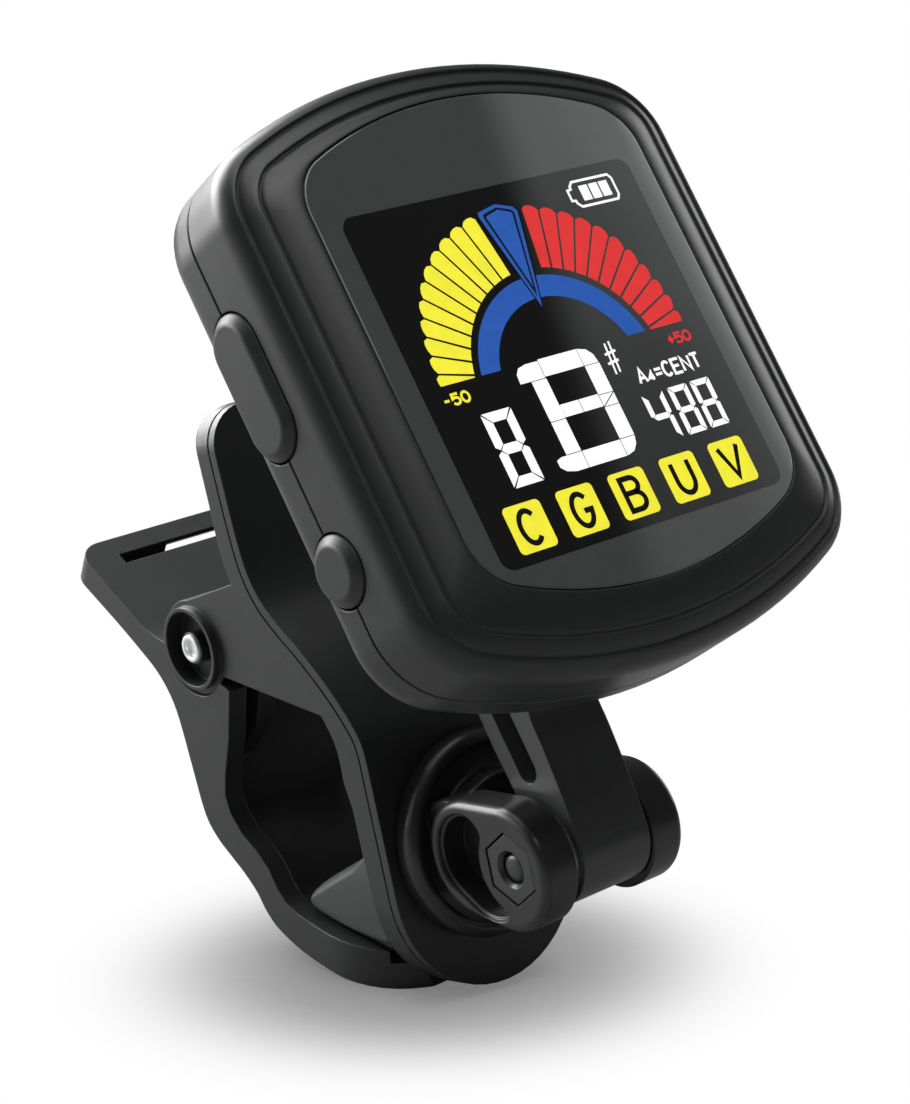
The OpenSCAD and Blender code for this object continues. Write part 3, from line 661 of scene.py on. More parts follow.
# rear shell, (inset, y), with a rounded back edge
REAR_PROFILE = [
    (1.6, -38.8), (1.6, -41.05), (0.30, -41.05), (0.06, -41.03), (0.0, -40.96), (0, -39.6),
    (0.02, -38.95), (0.14, -38.45), (0.38, -38.0), (0.72, -37.63), (1.15, -37.37),
    (1.6, -37.25), (2.1, BACK_Y)]
SCREWS = [(-12, 9.6), (12, 9.6), (-16.2, 47.2), (16.2, 47.2)]
# door opening, screw wells and the seat of the arm
rear_holes = side_holes() + [prism_y(circle(0, CELL_Z, 12.1, 96), -45, -36)]
rear_holes += [prism_y(circle(x, z, 1.75, 40), BACK_Y - 1.3, -36) for x, z in SCREWS]
rear_holes.append(prism_y(box_outline(-7.68, 8.22, 7.68, 17.98), BACK_Y - 0.6, -36))
add_modifiers(cut_shell("head_rear_shell",
                        loft_y([(head_ring(inset), y) for inset, y in REAR_PROFILE]),
                        rear_holes, replaces=("rear_case",)))

# dark sheet seen through the seam and round the buttons, painted shade for the slot between
# the shells: a closed band of four rings
SEAM_RINGS = [(0.34, -41.3), (0.34, -40.9), (1.5, -40.9), (1.5, -41.3)]
seam_verts, seam_faces = loft_y([(head_ring(inset), y) for inset, y in SEAM_RINGS], ends=False)
ring_size = len(band_ring)
seam_faces += [(k, (k + 1) % ring_size, (k + 1) % ring_size + 3 * ring_size, k + 3 * ring_size)
               for k in range(ring_size)]
cut_shell("seam_shade_sheet", (seam_verts, seam_faces), side_holes(), mat="gap")

# ------------------------------------------------------------------ lens
LENS_PROFILE = [(0.02, -47.25), (0.02, -48.20), (0.05, -48.28), (0.12, -48.335), (0.22, LENS_Y)]
add_modifiers(make("lens_panel", loft_y([(lens_ring(inset), y) for inset, y in LENS_PROFILE]),
                   "head", "lens", "lens_panel", ("front_lens",)))

ART_THICKNESS = 0.02
WINDOW_Y = LENS_Y - 0.015  # the layers of artwork, each nearer to the viewer
ART_Y = WINDOW_Y - 0.012
OVER_Y = ART_Y - 0.012


def artwork(name, outlines, mat, y=ART_Y):
    """Thin flat solids lying on the lens."""
    verts, faces = [], []
    for outline in outlines:
        first, n = len(verts), len(outline)
        verts += [(x, y, z) for x, z in outline]
        verts += [(x, y + ART_THICKNESS, z) for x, z in outline]
        faces.append(tuple(range(first, first + n)))
        faces.append(tuple(range(first + 2 * n - 1, first + n - 1, -1)))
        faces += [(first + k, first + (k + 1) % n, first + (k + 1) % n + n, first + k + n)
                  for k in range(n)]
    make(name, (verts, faces), "head", mat, "display", smooth=False)


artwork("window_black", [rounded_box(-14, WINDOW_Z - 14, 14, WINDOW_Z + 14, 1.1)], "glass",
        WINDOW_Y)

# ------------------------------------------------------------------ gauge
GAUGE_X, GAUGE_Z = -0.2, 26.64
GAUGE_CUT_Z = 28.66  # nothing of the gauge shows below this
BARS_INNER_R = 8.95
# outer edge of the bars, (angle in degrees, radius)
BARS_OUTER = [
    (9, 12.15), (20, 12.6), (30, 12.9), (40, 13.4), (50, 13.8), (60, 13.9), (70, 14.0),
    (80, 14.1), (100, 14.1), (110, 14.0), (120, 13.9), (130, 13.75), (140, 13.4),
    (150, 12.95), (160, 12.5), (172, 12.05)]


def outer_radius(angle):
    for (a0, r0), (a1, r1) in zip(BARS_OUTER, BARS_OUTER[1:]):
        if a0 <= angle <= a1:
            return r0 + (r1 - r0) * (angle - a0) / (a1 - a0)
    return BARS_OUTER[0][1] if angle < BARS_OUTER[0][0] else BARS_OUTER[-1][1]


def on_gauge(radius, angle):
    return (GAUGE_X + radius * math.cos(math.radians(angle)),
            GAUGE_Z + radius * math.sin(math.radians(angle)))


def above_cut(outlines):
    """The parts of the outlines above the gauge's cut."""
    kept = []
    for outline in outlines:
        part = []
        for k, p in enumerate(outline):
            q = outline[(k + 1) % len(outline)]
            if p[1] >= GAUGE_CUT_Z:
                part.append(p)
            if (p[1] < GAUGE_CUT_Z) != (q[1] < GAUGE_CUT_Z):
                t = (GAUGE_CUT_Z - p[1]) / (q[1] - p[1])
                part.append((p[0] + t * (q[0] - p[0]), GAUGE_CUT_Z))
        if len(part) > 2:
            kept.append(part)
    return kept


def fan(first, last, count=11):
    """Bars with soft outer corners between two angles."""
    outer_gap, inner_gap, corner = 0.36, 0.60, 1.3  # degrees
    sign = 1 if last > first else -1
    bars = []
    for k in range(count):
        start = first + (last - first) * k / count
        end = first + (last - first) * (k + 1) / count
        outer0, outer1 = start + sign * outer_gap, end - sign * outer_gap
        inner0, inner1 = start + sign * inner_gap, end - sign * inner_gap
        middle = (outer0 + outer1) / 2
        radius0, radius1 = outer_radius(outer0), outer_radius(outer1)
        bars.append([
            on_gauge(BARS_INNER_R, inner0), on_gauge(BARS_INNER_R, (inner0 + inner1) / 2),
            on_gauge(BARS_INNER_R, inner1), on_gauge(radius1 - 0.30, outer1),
            on_gauge(radius1 - 0.04, outer1 - sign * corner),
            on_gauge(outer_radius(middle) + 0.02, middle),
            on_gauge(radius0 - 0.04, outer0 + sign * corner), on_gauge(radius0 - 0.30, outer0)])
    return above_cut(bars)


artwork("gauge_low", fan(99.0, 172.5), "yellow")
artwork("gauge_high", fan(80.6, 8.0), "red")
BAND_INNER_R, BAND_OUTER_R, BAND_STEPS = 6.6, 8.35, 48
band = []
for k in range(BAND_STEPS):
    start, end = 8 + 164 * k / BAND_STEPS, 8 + 164 * (k + 1) / BAND_STEPS
    band.append([on_gauge(BAND_INNER_R, start), on_gauge(BAND_OUTER_R, start),
                 on_gauge(BAND_OUTER_R, end + 0.05), on_gauge(BAND_INNER_R, end + 0.05)])
artwork("gauge_band", above_cut(band), "blue")

NEEDLE_X = -0.12
# name, material, y from the upper layer, outline as (x from the needle's axis, z)
NEEDLE = [
    ("needle_edge", "ink", 0.004, [(-0.16, 32.05), (2.0, 40.1), (1.62, 40.72), (0.02, 41.25),
                                   (-1.95, 40.85), (-2.12, 40.35)]),
    ("needle_rim", "blue", 0.0, [(-0.16, 32.45), (1.78, 40.15), (1.5, 40.58), (0.02, 41.05),
                                 (-1.82, 40.68), (-1.92, 40.35)]),
    ("needle_line", "ink", -0.006, [(-0.13, 33.35), (1.42, 40.12), (1.22, 40.36), (0, 40.78),
                                    (-1.45, 40.44), (-1.52, 40.2)]),
    ("needle_core", "blue", -0.012, [(-0.11, 34.1), (1.2, 40.06), (1.08, 40.2), (0, 40.58),
                                     (-1.22, 40.26), (-1.3, 40.1)])]
for name, mat, lift, outline in NEEDLE:
    artwork(name, [[(NEEDLE_X + x, z) for x, z in outline]], mat, OVER_Y + lift)


# ------------------------------------------------------------------ stroked marks
def stroke(line, width, closed=False):
    """A band along a line, as one outline per span with its corners mitred."""
    points = [Vector(p) for p in line]
    n = len(points)
    left, right = [], []
    for k in range(n):
        if closed:
            before = (points[k] - points[k - 1]).normalized()
            after = (points[(k + 1) % n] - points[k]).normalized()
        else:
            before = (points[max(k, 1)] - points[max(k, 1) - 1]).normalized()
            after = (points[k + 1] - points[k]).normalized() if k < n - 1 else before
        along = before + after
        along = along.normalized() if along.length > 1e-6 else after
        across = Vector((-along.y, along.x))
        miter = max(0.5, across.dot(Vector((-after.y, after.x))))
        left.append(points[k] + across * (width / 2 / miter))
        right.append(points[k] - across * (width / 2 / miter))
    return [[tuple(p) for p in (left[k], left[(k + 1) % n], right[(k + 1) % n], right[k])]
            for k in range(n if closed else n - 1)]


def oval(cx, cz, rx, rz, start, end, steps=14):
    turns = [math.radians(start + (end - start) * i / steps) for i in range(steps + 1)]
    return [(cx + rx * math.cos(t), cz + rz * math.sin(t)) for t in turns]


# centre lines of plain block letters in a box of 1 by 1
FOUR = [[(0.75, 0), (0.75, 1), (0, 0.3), (1, 0.3)]]
GLYPHS = {
    "C": [oval(0.5, 0.5, 0.5, 0.5, 42, 318, 26)],
    "G": [oval(0.5, 0.5, 0.5, 0.5, 42, 335, 26) + [(1.0, 0.46), (0.58, 0.46)]],
    "B": [[(0, 0.54), (0, 1), (0.55, 1)] + oval(0.55, 0.77, 0.38, 0.23, 80, -80, 12)
          + [(0.55, 0.54), (0.06, 0.54)],
          [(0, 0.54), (0, 0), (0.55, 0)] + oval(0.55, 0.27, 0.45, 0.27, -80, 80, 12)
          + [(0.55, 0.54)]],
    "U": [[(0, 1), (0, 0.42)] + oval(0.5, 0.42, 0.5, 0.42, 190, 350, 16)
          + [(1, 0.42), (1, 1)]],
    "V": [[(-0.02, 1), (0.5, 0.02), (1.02, 1)]],
    "A": [[(0, 0), (0.5, 1), (1, 0)], [(0.2, 0.33), (0.8, 0.33)]],
    "s": FOUR,  # the small mark after the A has the form of a 4
    "5": [[(0.95, 1), (0.1, 1), (0.05, 0.56)] + oval(0.48, 0.33, 0.5, 0.33, 120, -150)],
    "0": [oval(0.5, 0.5, 0.5, 0.5, 90, 450, 24)],
    "-": [[(0.1, 0.5), (0.9, 0.5)]],
    "+": [[(0.05, 0.5), (0.95, 0.5)], [(0.5, 0.1), (0.5, 0.9)]],
    "=": [[(0, 0.3), (1, 0.3)], [(0, 0.65), (1, 0.65)]],
    "E": [[(1, 1), (0, 1), (0, 0), (1, 0)], [(0, 0.52), (0.85, 0.52)]],
    "N": [[(0, 0), (0, 1), (1, 0), (1, 1)]],
    "T": [[(0, 1), (1, 1)], [(0.5, 1), (0.5, 0)]],
}
# glyphs smaller than the rest: (share of the width, share of the height)
GLYPH_SCALE = {"s": (0.65, 0.6), "-": (0.85, 1), "+": (0.85, 1), "=": (0.85, 1)}


def letter(char, x0, z0, width, height, line_width):
    return [outline for line in GLYPHS[char]
            for outline in stroke([(x0 + x * width, z0 + z * height) for x, z in line],
                                  line_width)]


def word(text, x, z, width, height, gap, line_width):
    outlines = []
    for char in text:
        scale_x, scale_z = GLYPH_SCALE.get(char, (1, 1))
        outlines += letter(char, x, z, width * scale_x, height * scale_z, line_width)
        x += width * scale_x + gap
    return outlines


artwork("label_low", word("-50", x=-12.45, z=27.12, width=0.66, height=0.78, gap=0.22,
                          line_width=0.20), "yellow")
artwork("label_high", word("+50", x=9.6, z=27.1, width=0.66, height=0.78, gap=0.18,
                           line_width=0.20), "red")
artwork("label_cent", word("As=CENT", x=5.2, z=24.85, width=0.74, height=1.12, gap=0.26,
                           line_width=0.23), "white")
# two uprights and two crossbars: (start, end, line width)
SHARP_LINES = [((3.42, 26.05), (3.62, 28.55), 0.17), ((3.86, 26.15), (4.06, 28.65), 0.17),
               ((3.1, 26.95), (4.22, 27.1), 0.2), ((3.2, 27.7), (4.32, 27.85), 0.2)]
artwork("mark_sharp", [outline for start, end, width in SHARP_LINES
                       for outline in stroke([start, end], width)], "white")

# ------------------------------------------------------------------ battery mark
CELL_X0, CELL_X1, CELL_Z0, CELL_Z1 = 7.45, 11.75, 39.32, 41.42
NUB_X = CELL_X0 - 0.38
battery_line = [
    (CELL_X0 + 0.35, CELL_Z0), (CELL_X1 - 0.25, CELL_Z0), (CELL_X1, CELL_Z0 + 0.35),
    (CELL_X1, CELL_Z1 - 0.35), (CELL_X1 - 0.25, CELL_Z1), (CELL_X0 + 0.35, CELL_Z1),
    (CELL_X0, CELL_Z1 - 0.35), (CELL_X0, CELL_Z1 - 0.55), (NUB_X, CELL_Z1 - 0.62),
    (NUB_X, CELL_Z0 + 0.62), (CELL_X0, CELL_Z0 + 0.55), (CELL_X0, CELL_Z0 + 0.35)]
artwork("battery_outline", stroke(battery_line, 0.20, closed=True), "white")
artwork("battery_bars", [box_outline(x, CELL_Z0 + 0.42, x + 0.86, CELL_Z1 - 0.42)
                         for x in (8.25, 9.27, 10.29)], "white")


# ------------------------------------------------------------------ seven-segment digits
def seven(x0, width, height, thick, gap, segments="abcdefg"):
    """Segments with cut corners, standing on the digits' base line."""
    z0 = 20.05
    x1, z1, zm, t, g = x0 + width, z0 + height, z0 + height / 2, thick, gap
    in0, in1 = x0 + t, x1 - t  # inner edges of the uprights
    shapes = dict(
        a=[(x0 + g, z1), (x1 - g, z1), (in1 - g * 0.4, z1 - t), (in0 + g * 0.4, z1 - t)],
        d=[(x0 + g, z0), (in0 + g * 0.4, z0 + t), (in1 - g * 0.4, z0 + t), (x1 - g, z0)],
        f=[(x0, z1 - g), (in0, z1 - t - g * 0.6), (in0, zm + t * 0.5 + g * 0.4),
           (x0 + t * 0.45, zm + g * 0.7), (x0, zm + t * 0.4)],
        e=[(x0, z0 + g), (x0, zm - t * 0.4), (x0 + t * 0.45, zm - g * 0.7),
           (in0, zm - t * 0.5 - g * 0.4), (in0, z0 + t + g * 0.6)],
        b=[(x1, z1 - g), (x1, zm + t * 0.4), (x1 - t * 0.45, zm + g * 0.7),
           (in1, zm + t * 0.5 + g * 0.4), (in1, z1 - t - g * 0.6)],
        c=[(x1, z0 + g), (in1, z0 + t + g * 0.6), (in1, zm - t * 0.5 - g * 0.4),
           (x1 - t * 0.45, zm - g * 0.7), (x1, zm - t * 0.4)],
        g=[(x0 + t * 0.55, zm), (in0 + g * 0.3, zm + t * 0.5), (in1 - g * 0.3, zm + t * 0.5),
           (x1 - t * 0.55, zm), (in1 - g * 0.3, zm - t * 0.5), (in0 + g * 0.3, zm - t * 0.5)])
    return [shapes[s] for s in segments]


artwork("digit_octave", seven(-10.02, width=2.85, height=5.85, thick=0.78, gap=0.10), "white")
SMALL = dict(height=3.9, thick=0.46, gap=0.07)
artwork("digits_cents", seven(7.28, width=1.95, **SMALL) + seven(9.62, width=1.95, **SMALL)
        + seven(4.62, width=2.1, segments="fgbc", **SMALL), "white")

# large note: bars divided by hairlines, from the top down
NOTE = [
    [(-5.38, 27.25), (-3.0, 27.25), (-3.0, 28.62), (-4.2, 28.62), (-4.95, 28.45), (-5.32, 28.0)],
    box_outline(-2.94, 27.33, 0.86, 28.72),
    [(0.92, 27.33), (2.32, 27.33), (2.18, 28.0), (1.72, 28.5), (0.92, 28.72)],
    box_outline(-4.36, 24.02, -2.94, 27.19),
    box_outline(0.92, 24.92, 2.36, 27.27),
    [(-4.36, 23.96), (-2.94, 23.96), (-2.94, 24.0), (-2.94, 24.96), (-4.3, 24.0)],
    box_outline(-2.88, 24.0, -1.08, 25.0),
    box_outline(-1.02, 24.0, 0.86, 25.0),
    [(0.92, 24.0), (2.3, 24.86), (0.92, 24.86)],
    [(0.98, 23.94), (2.36, 23.94), (2.36, 24.8)],
    box_outline(-4.36, 21.32, -2.94, 23.9),
    box_outline(0.92, 21.32, 2.36, 23.88),
    [(-4.36, 21.26), (-2.94, 21.26), (-2.94, 19.95), (-4.1, 19.95), (-4.95, 20.15),
     (-5.4, 20.55), (-5.4, 21.1), (-4.9, 21.26)],
    box_outline(-2.88, 19.95, 0.86, 21.26),
    [(0.92, 21.26), (2.34, 21.26), (2.16, 20.65), (1.7, 20.15), (0.92, 19.95)],
]
artwork("note_large", NOTE, "white")

# ------------------------------------------------------------------ mode boxes
for char, middle in zip("CGBUV", (-10.27, -5.25, -0.17, 4.98, 10.05)):
    artwork("mode_box_" + char, [rounded_box(middle - 1.75, 15.3, middle + 1.75, 18.95, 0.42, 6)],
            "yellow")
    width = 1.85 if char == "V" else 1.62
    artwork("mode_letter_" + char, letter(char, middle - width / 2, 15.88, width, height=2.48,
                                          line_width=0.42), "ink", OVER_Y)

# ------------------------------------------------------------------ buttons
# (x, inset) from the foot inside the head to the crown
BUTTON_PROFILE = [
    (-19.35, 0.0), (-21.42, 0.0), (-21.55, 0.02), (-21.63, 0.06), (-21.70, 0.13),
    (-22.04, 0.50), (-22.11, 0.59), (-22.16, 0.69), (-22.19, 0.80), (-22.2, 0.92)]
for name, node, height, z in BUTTONS:
    shape = loft_x([(button_outline(z, height, -inset, 28), x) for x, inset in BUTTON_PROFILE])
    add_modifiers(make(name, shape, BODY_OF[node], "button", "button_plastic", (node,),
                       flat_angle=40))

# ------------------------------------------------------------------ parts kept from the CAD
remake("head_arm", width=0.35, segments=4, angle=30)
remake("rear_lever", width=0.30, segments=3, angle=30)
remake("battery_cover", width=0.15, segments=2, angle=35)

# ------------------------------------------------------------------ yoke, in the jaw's frame
# disc with a raised rim, (radius, y)
DISC_PROFILE = [
    (8.2, -0.05), (8.45, -0.12), (8.5, -0.3), (8.5, -1.25), (8.47, -1.5), (8.39, -1.72),
    (8.26, -1.92), (8.08, -2.08), (7.88, -2.17), (7.68, -2.2), (7.5, -2.18), (7.36, -2.11),
    (7.26, -2.0), (7.2, -1.88), (7.12, -1.8), (7.0, -1.77), (5.62, -1.77), (5.42, -1.83),
    (5.28, -1.97), (5.2, -2.2), (5.2, -3.95), (5.13, -4.12), (4.95, -4.2)]
# ears, (distance from the middle, inset)
EAR_PROFILE = [
    (3.92, 0.3), (3.98, 0.12), (4.1, 0.0), (6.6, 0.0), (6.78, 0.03), (6.95, 0.1), (7.08, 0.2),
    (7.18, 0.33), (7.25, 0.48), (7.29, 0.62), (7.3, 0.74)]
# necks that join the ears to the disc, (distance from the middle, growth)
NECK_PROFILE = [(3.92, -0.25), (4.1, 0), (5.6, 0), (5.85, -0.12), (6.0, -0.4)]
# kidney-shaped recess in each ear, (distance from the middle, growth)
KIDNEY_PROFILE = [
    (4.65, 0), (6.75, 0), (6.84, 0.06), (6.86, 0.22), (7.1, 0.24), (7.2, 0.3), (7.28, 0.42),
    (7.34, 0.6), (7.8, 0.6)]
KIDNEY_CLEAR_R = 4.05  # wall kept round the hinge


def ear_outline(inset):
    return around_two((-11.6, -0.2), 5.05 - inset, (-7.46, 0.45), 4.67 - inset, 120)


def kidney_outline():
    """Round two circles, with a bite concentric with the hinge, then smoothed."""
    steps = 240
    whole = around_two((-7.4, 0.5), 3.3, (-9.4, -0.6), 3.6, steps)
    outside = [math.dist(p, (HINGE_Y, 0)) > KIDNEY_CLEAR_R for p in whole]
    k = next(k for k in range(steps) if outside[k] and not outside[k - 1])
    kept = []
    while outside[k % steps]:
        kept.append(whole[k % steps])
        k += 1
    start = math.atan2(kept[-1][1], kept[-1][0] - HINGE_Y)
    end = math.atan2(kept[0][1], kept[0][0] - HINGE_Y)
    turns = [start + (end - start) * k / 40 for k in range(1, 40)]
    bite = [(HINGE_Y + KIDNEY_CLEAR_R * math.cos(t), KIDNEY_CLEAR_R * math.sin(t))
            for t in turns]
    return smooth_outline(evenly(kept + bite, 150), rounds=9)


def hexagon(radius, turn):
    """Hexagon round the hinge, with its corner radius."""
    turns = [math.radians(60 * k + turn) for k in range(6)]
    return [(HINGE_Y + radius * math.cos(t), radius * math.sin(t)) for t in turns]


yoke = solid(on_jaw(turned_y(DISC_PROFILE)), "yoke_rough")
neck = around_two((-7.2, 0.45), 4.25, (-4.4, 0.45), 4.25, 96)
ears = []
for side in (-1, 1):
    ears.append(on_jaw(loft_x([(ear_outline(inset), side * x) for x, inset in EAR_PROFILE])))
    ears.append(on_jaw(swelling(neck, NECK_PROFILE, side)))
cut(yoke, ears, "UNION")
kidney = kidney_outline()
cut(yoke, [on_jaw(shape) for shape in (
    swelling(kidney, KIDNEY_PROFILE, -1),
    swelling(kidney, KIDNEY_PROFILE, 1),
    prism_x(hexagon(2.99, 90), -9, -5.2),             # for the nut
    prism_x(circle(HINGE_Y, 0, 1.26, 40), -9, 9),     # for the bolt
    turned_x([(2.47, 5.4), (2.47, 7.15), (2.6, 7.32), (2.6, 9)], HINGE_Y, 0),  # for its head
    turned_y([(1.5, -3.95), (1.5, 1)], 40))])         # for the swivel screw
add_modifiers(finish_rough(yoke, "swivel_yoke_looks", BODY_OF["swivel_yoke"], "arm",
                           "arm_plastic", ("swivel_yoke",)))


# ------------------------------------------------------------------ hinge nut and bolt
def soft_hexagon(radius, corner=0.16, steps=5):
    """Hexagon round the hinge with its corners rounded."""
    outline = []
    reach = radius - corner / math.cos(math.radians(30))
    for k in range(6):
        a = 60 * k + 90
        centre_y = HINGE_Y + reach * math.cos(math.radians(a))
        centre_z = reach * math.sin(math.radians(a))
        turns = [math.radians(a - 30 + 60 * j / steps) for j in range(steps + 1)]
        outline += [(centre_y + corner * math.cos(t), centre_z + corner * math.sin(t))
                    for t in turns]
    return outline


def hinge_part(node, rough_name, shape, hole):
    rough = solid(on_jaw(shape), rough_name)
    cut(rough, [on_jaw(hole)])
    add_modifiers(finish_rough(rough, node + "_looks", BODY_OF[node], "nut", "dark_steel",
                               (node,)))


# (corner radius, x) and (radius, x)
NUT_PROFILE = [(2.78, -5.22), (2.86, -5.32), (2.86, -7.12), (2.82, -7.2), (2.74, -7.24)]
NUT_BORE = [(1.5, -7.6), (1.5, -7.22), (1.42, -7.12), (1.27, -6.9), (1.27, -5.0)]
BOLT_PROFILE = [
    (0.45, -7.06), (0.78, -7.0), (0.98, -6.9), (1.1, -6.76), (1.15, -6.6), (1.2, -6.5),
    (1.24, -6.4), (1.24, 5.42), (2.2, 5.42), (2.33, 5.5), (2.35, 5.6), (2.35, 6.75),
    (2.31, 6.92), (2.2, 7.04), (2.0, 7.1)]
hinge_part("hinge_nut", "nut_rough", loft_x([(soft_hexagon(r), x) for r, x in NUT_PROFILE]),
           turned_x(NUT_BORE, HINGE_Y, 0))
hinge_part("hinge_bolt", "bolt_rough", turned_x(BOLT_PROFILE, HINGE_Y, 0),
           prism_x(hexagon(1.15, 0), 6.1, 9))

# ------------------------------------------------------------------ front lever
# outer face seen from the side, (y, z), down to the jaw, then straight along it
LEVER_FACE = curve([
    (-17.6, 43.3), (-16.6, 41.3), (-15.6, 38.9), (-14.5, 36), (-13, 31.7), (-12.2, 28.6),
    (-12.3, 25.8), (-13.2, 23.2), (-14.5, 20.4), (-15.9, 16.7), (-16.75, 13.2), (-16.75, 11),
    jaw_point(0, 6.6)], 5)
LEVER_FACE += [jaw_point(0, z) for z in (4, 1, -2, -6, -10, -16)]


def tongue(half_width, z0, z1, corner):
    """Round below, with two rounded corners above."""
    return (arc(0, z0, half_width, 180, 360, 48)
            + arc(half_width - corner, z1 - corner, corner, 0, 90, 10)
            + arc(corner - half_width, z1 - corner, corner, 90, 180, 10))


def lever_layer(face, near, far):
    """A slab that follows the outer face between two depths."""
    return solid(prism_x(offset(face, near) + offset(face, far)[::-1], -12, 12))


def boss_recess(side):
    """A round recess in the boss, down to a slim hub round the pin."""
    low, high = sorted((side * 8.15, side * 10.6))
    recess = solid(turned_x([(0.0001, low), (3.26, low), (3.26, high), (0.0001, high)],
                            PIVOT_Y, PIVOT_Z))
    cut(recess, [turned_x([(0.0001, low - 1), (1.42, low - 1), (1.36, high + 1),
                           (0.0001, high + 1)], PIVOT_Y, PIVOT_Z, 48)])
    return recess


# fine groove round the sides that leaves a thin lip along the outer face
lip_groove = lever_layer(LEVER_FACE, -0.80, -1.0)
cut(lip_groove, [on_jaw(prism_y(tongue(LEVER_HALF - 0.34, -3.2, 37.26, 3.16), -40, 60))])
recesses = [boss_recess(side) for side in (-1, 1)]
# the side webs end flush with the outer face
proud = lever_layer([p for p in LEVER_FACE if 19 < p[1] < 34], 0.02, 2.2)
remake("front_lever", width=0.26, segments=3, angle=30, cutters=[lip_groove, proud] + recesses)

# ------------------------------------------------------------------ pin
# one dished end, (radius, x): flat floor, bright rim, outer wall; the other mirrors it
PIN_END = [
    (0.0001, -9.28), (0.55, -9.28), (0.70, -9.29), (0.745, -9.33), (0.765, -9.6),
    (0.80, -9.67), (0.86, -9.70), (1.08, -9.70), (1.16, -9.66), (1.2, -9.56)]
pin_profile = PIN_END + [(r, -x) for r, x in PIN_END[::-1]]
make("pivot_pin_looks", turned_x(pin_profile, PIVOT_Y, PIVOT_Z, 48), BODY_OF["pivot_pin"],
     "pin", "pin_steel", ("pivot_pin",), flat_angle=40)

# ------------------------------------------------------------------ front pad
# side outlines, (y, z), in the middle of the pad and at its flanks
PAD_MIDDLE = [
    (-6.3, -4.0), (-4.2, -2.7), (-2.1, -1.35), (-0.1, 0.2), (1.3, 1.5), (2.15, 2.5),
    (2.4, 3.3), (1.9, 4.0), (0, 4.3), (-3, 4.3), (-6.6, 4.22)]
PAD_FLANK = [
    (-6.9, -3.0), (-4.8, -1.75), (-2.8, -0.45), (-0.9, 1.0), (0.4, 2.1), (0.95, 2.7),
    (1.0, 3.1), (0.6, 3.35), (-0.6, 3.4), (-3, 3.4), (-6.6, 3.4)]
PAD_SEAT = 3.22  # height of the pad's base over the jaw's swivel point
PAD_BASE = [jaw_point(PAD_SEAT, z) for z in (1.1, -0.9, -2.9, -4.9, -6.6)]
# (distance from the middle, share of the way to the flank outline)
PAD_STATIONS = [
    (0.0, 0.0), (2.0, 0.0), (4.0, 0.01), (5.2, 0.035), (6.0, 0.09), (6.6, 0.17), (7.1, 0.28),
    (7.5, 0.42), (7.8, 0.56), (8.03, 0.70), (8.2, 0.83), (8.31, 0.94), (8.38, 1.04),
    (8.42, 1.14), (8.44, 1.26)]


def pad_ring(share):
    """Side outline of the pad, kept just clear of its base."""
    normal_y, normal_z = math.cos(TILT), math.sin(TILT)
    ring = []
    for y, z in curve(mix_rings(PAD_MIDDLE, PAD_FLANK, share), 6):
        height = (y - SWIVEL_Y) * normal_y + (z - SWIVEL_Z) * normal_z - PAD_SEAT
        short = min(height - 0.02, 0)
        ring.append((y - short * normal_y, z - short * normal_z))
    return ring + PAD_BASE


pad_rings = [(pad_ring(share), -x) for x, share in PAD_STATIONS[::-1]]
pad_rings += [(pad_ring(share), x) for x, share in PAD_STATIONS[1:]]
make("front_pad_soft", loft_x(pad_rings), BODY_OF["front_pad"], "pad", "pad_rubber",
     ("front_pad",), flat_angle=60)


# ------------------------------------------------------------------ rear pad
def soften(node, voxel, rounds):
    """A CAD node remeshed and smoothed; it stands for the node."""
    name = node + "_soft"
    mesh, bm = copy_cad(node, name)
    bm.to_mesh(mesh)
    bm.free()
    mat, slot = CAD_MATS[node]
    rough = finish_piece(name, mesh, None, mat, slot)
    remesh = rough.modifiers.new("remesh", "REMESH")
    remesh.mode = "VOXEL"
    remesh.voxel_size = voxel * MM
    remesh.use_smooth_shade = True
    smooth = rough.modifiers.new("smooth", "SMOOTH")
    smooth.factor = 0.5
    smooth.iterations = rounds
    apply_modifiers(rough)
    finish_rough(rough, name, BODY_OF[node], mat, slot, (node,), flat_angle=80)


soften("rear_pad", voxel=0.14, rounds=5)

# ------------------------------------------------------------------ torsion spring
COIL_R, WIRE_R, PITCH = 2.35, 0.45, 1.06
TURN_STEPS, COIL_STEPS = 16, 93  # steps in a turn and in the whole coil
LEG_ANGLE = 34                   # degrees, where the coil starts
WIRE_SIDES = 12
COIL_X0 = -COIL_STEPS / TURN_STEPS * PITCH / 2
FRONT_LEG_END = Vector((COIL_X0, -10.5, PIVOT_Z + 8.05))
REAR_LEG_END = Vector((-COIL_X0, 6.45, PIVOT_Z + 6.72))


def coil_point(step):
    a = math.radians(step * 360 / TURN_STEPS + LEG_ANGLE)
    return Vector((COIL_X0 + step * PITCH / TURN_STEPS,
                   PIVOT_Y + COIL_R * math.sin(a), PIVOT_Z + COIL_R * math.cos(a)))


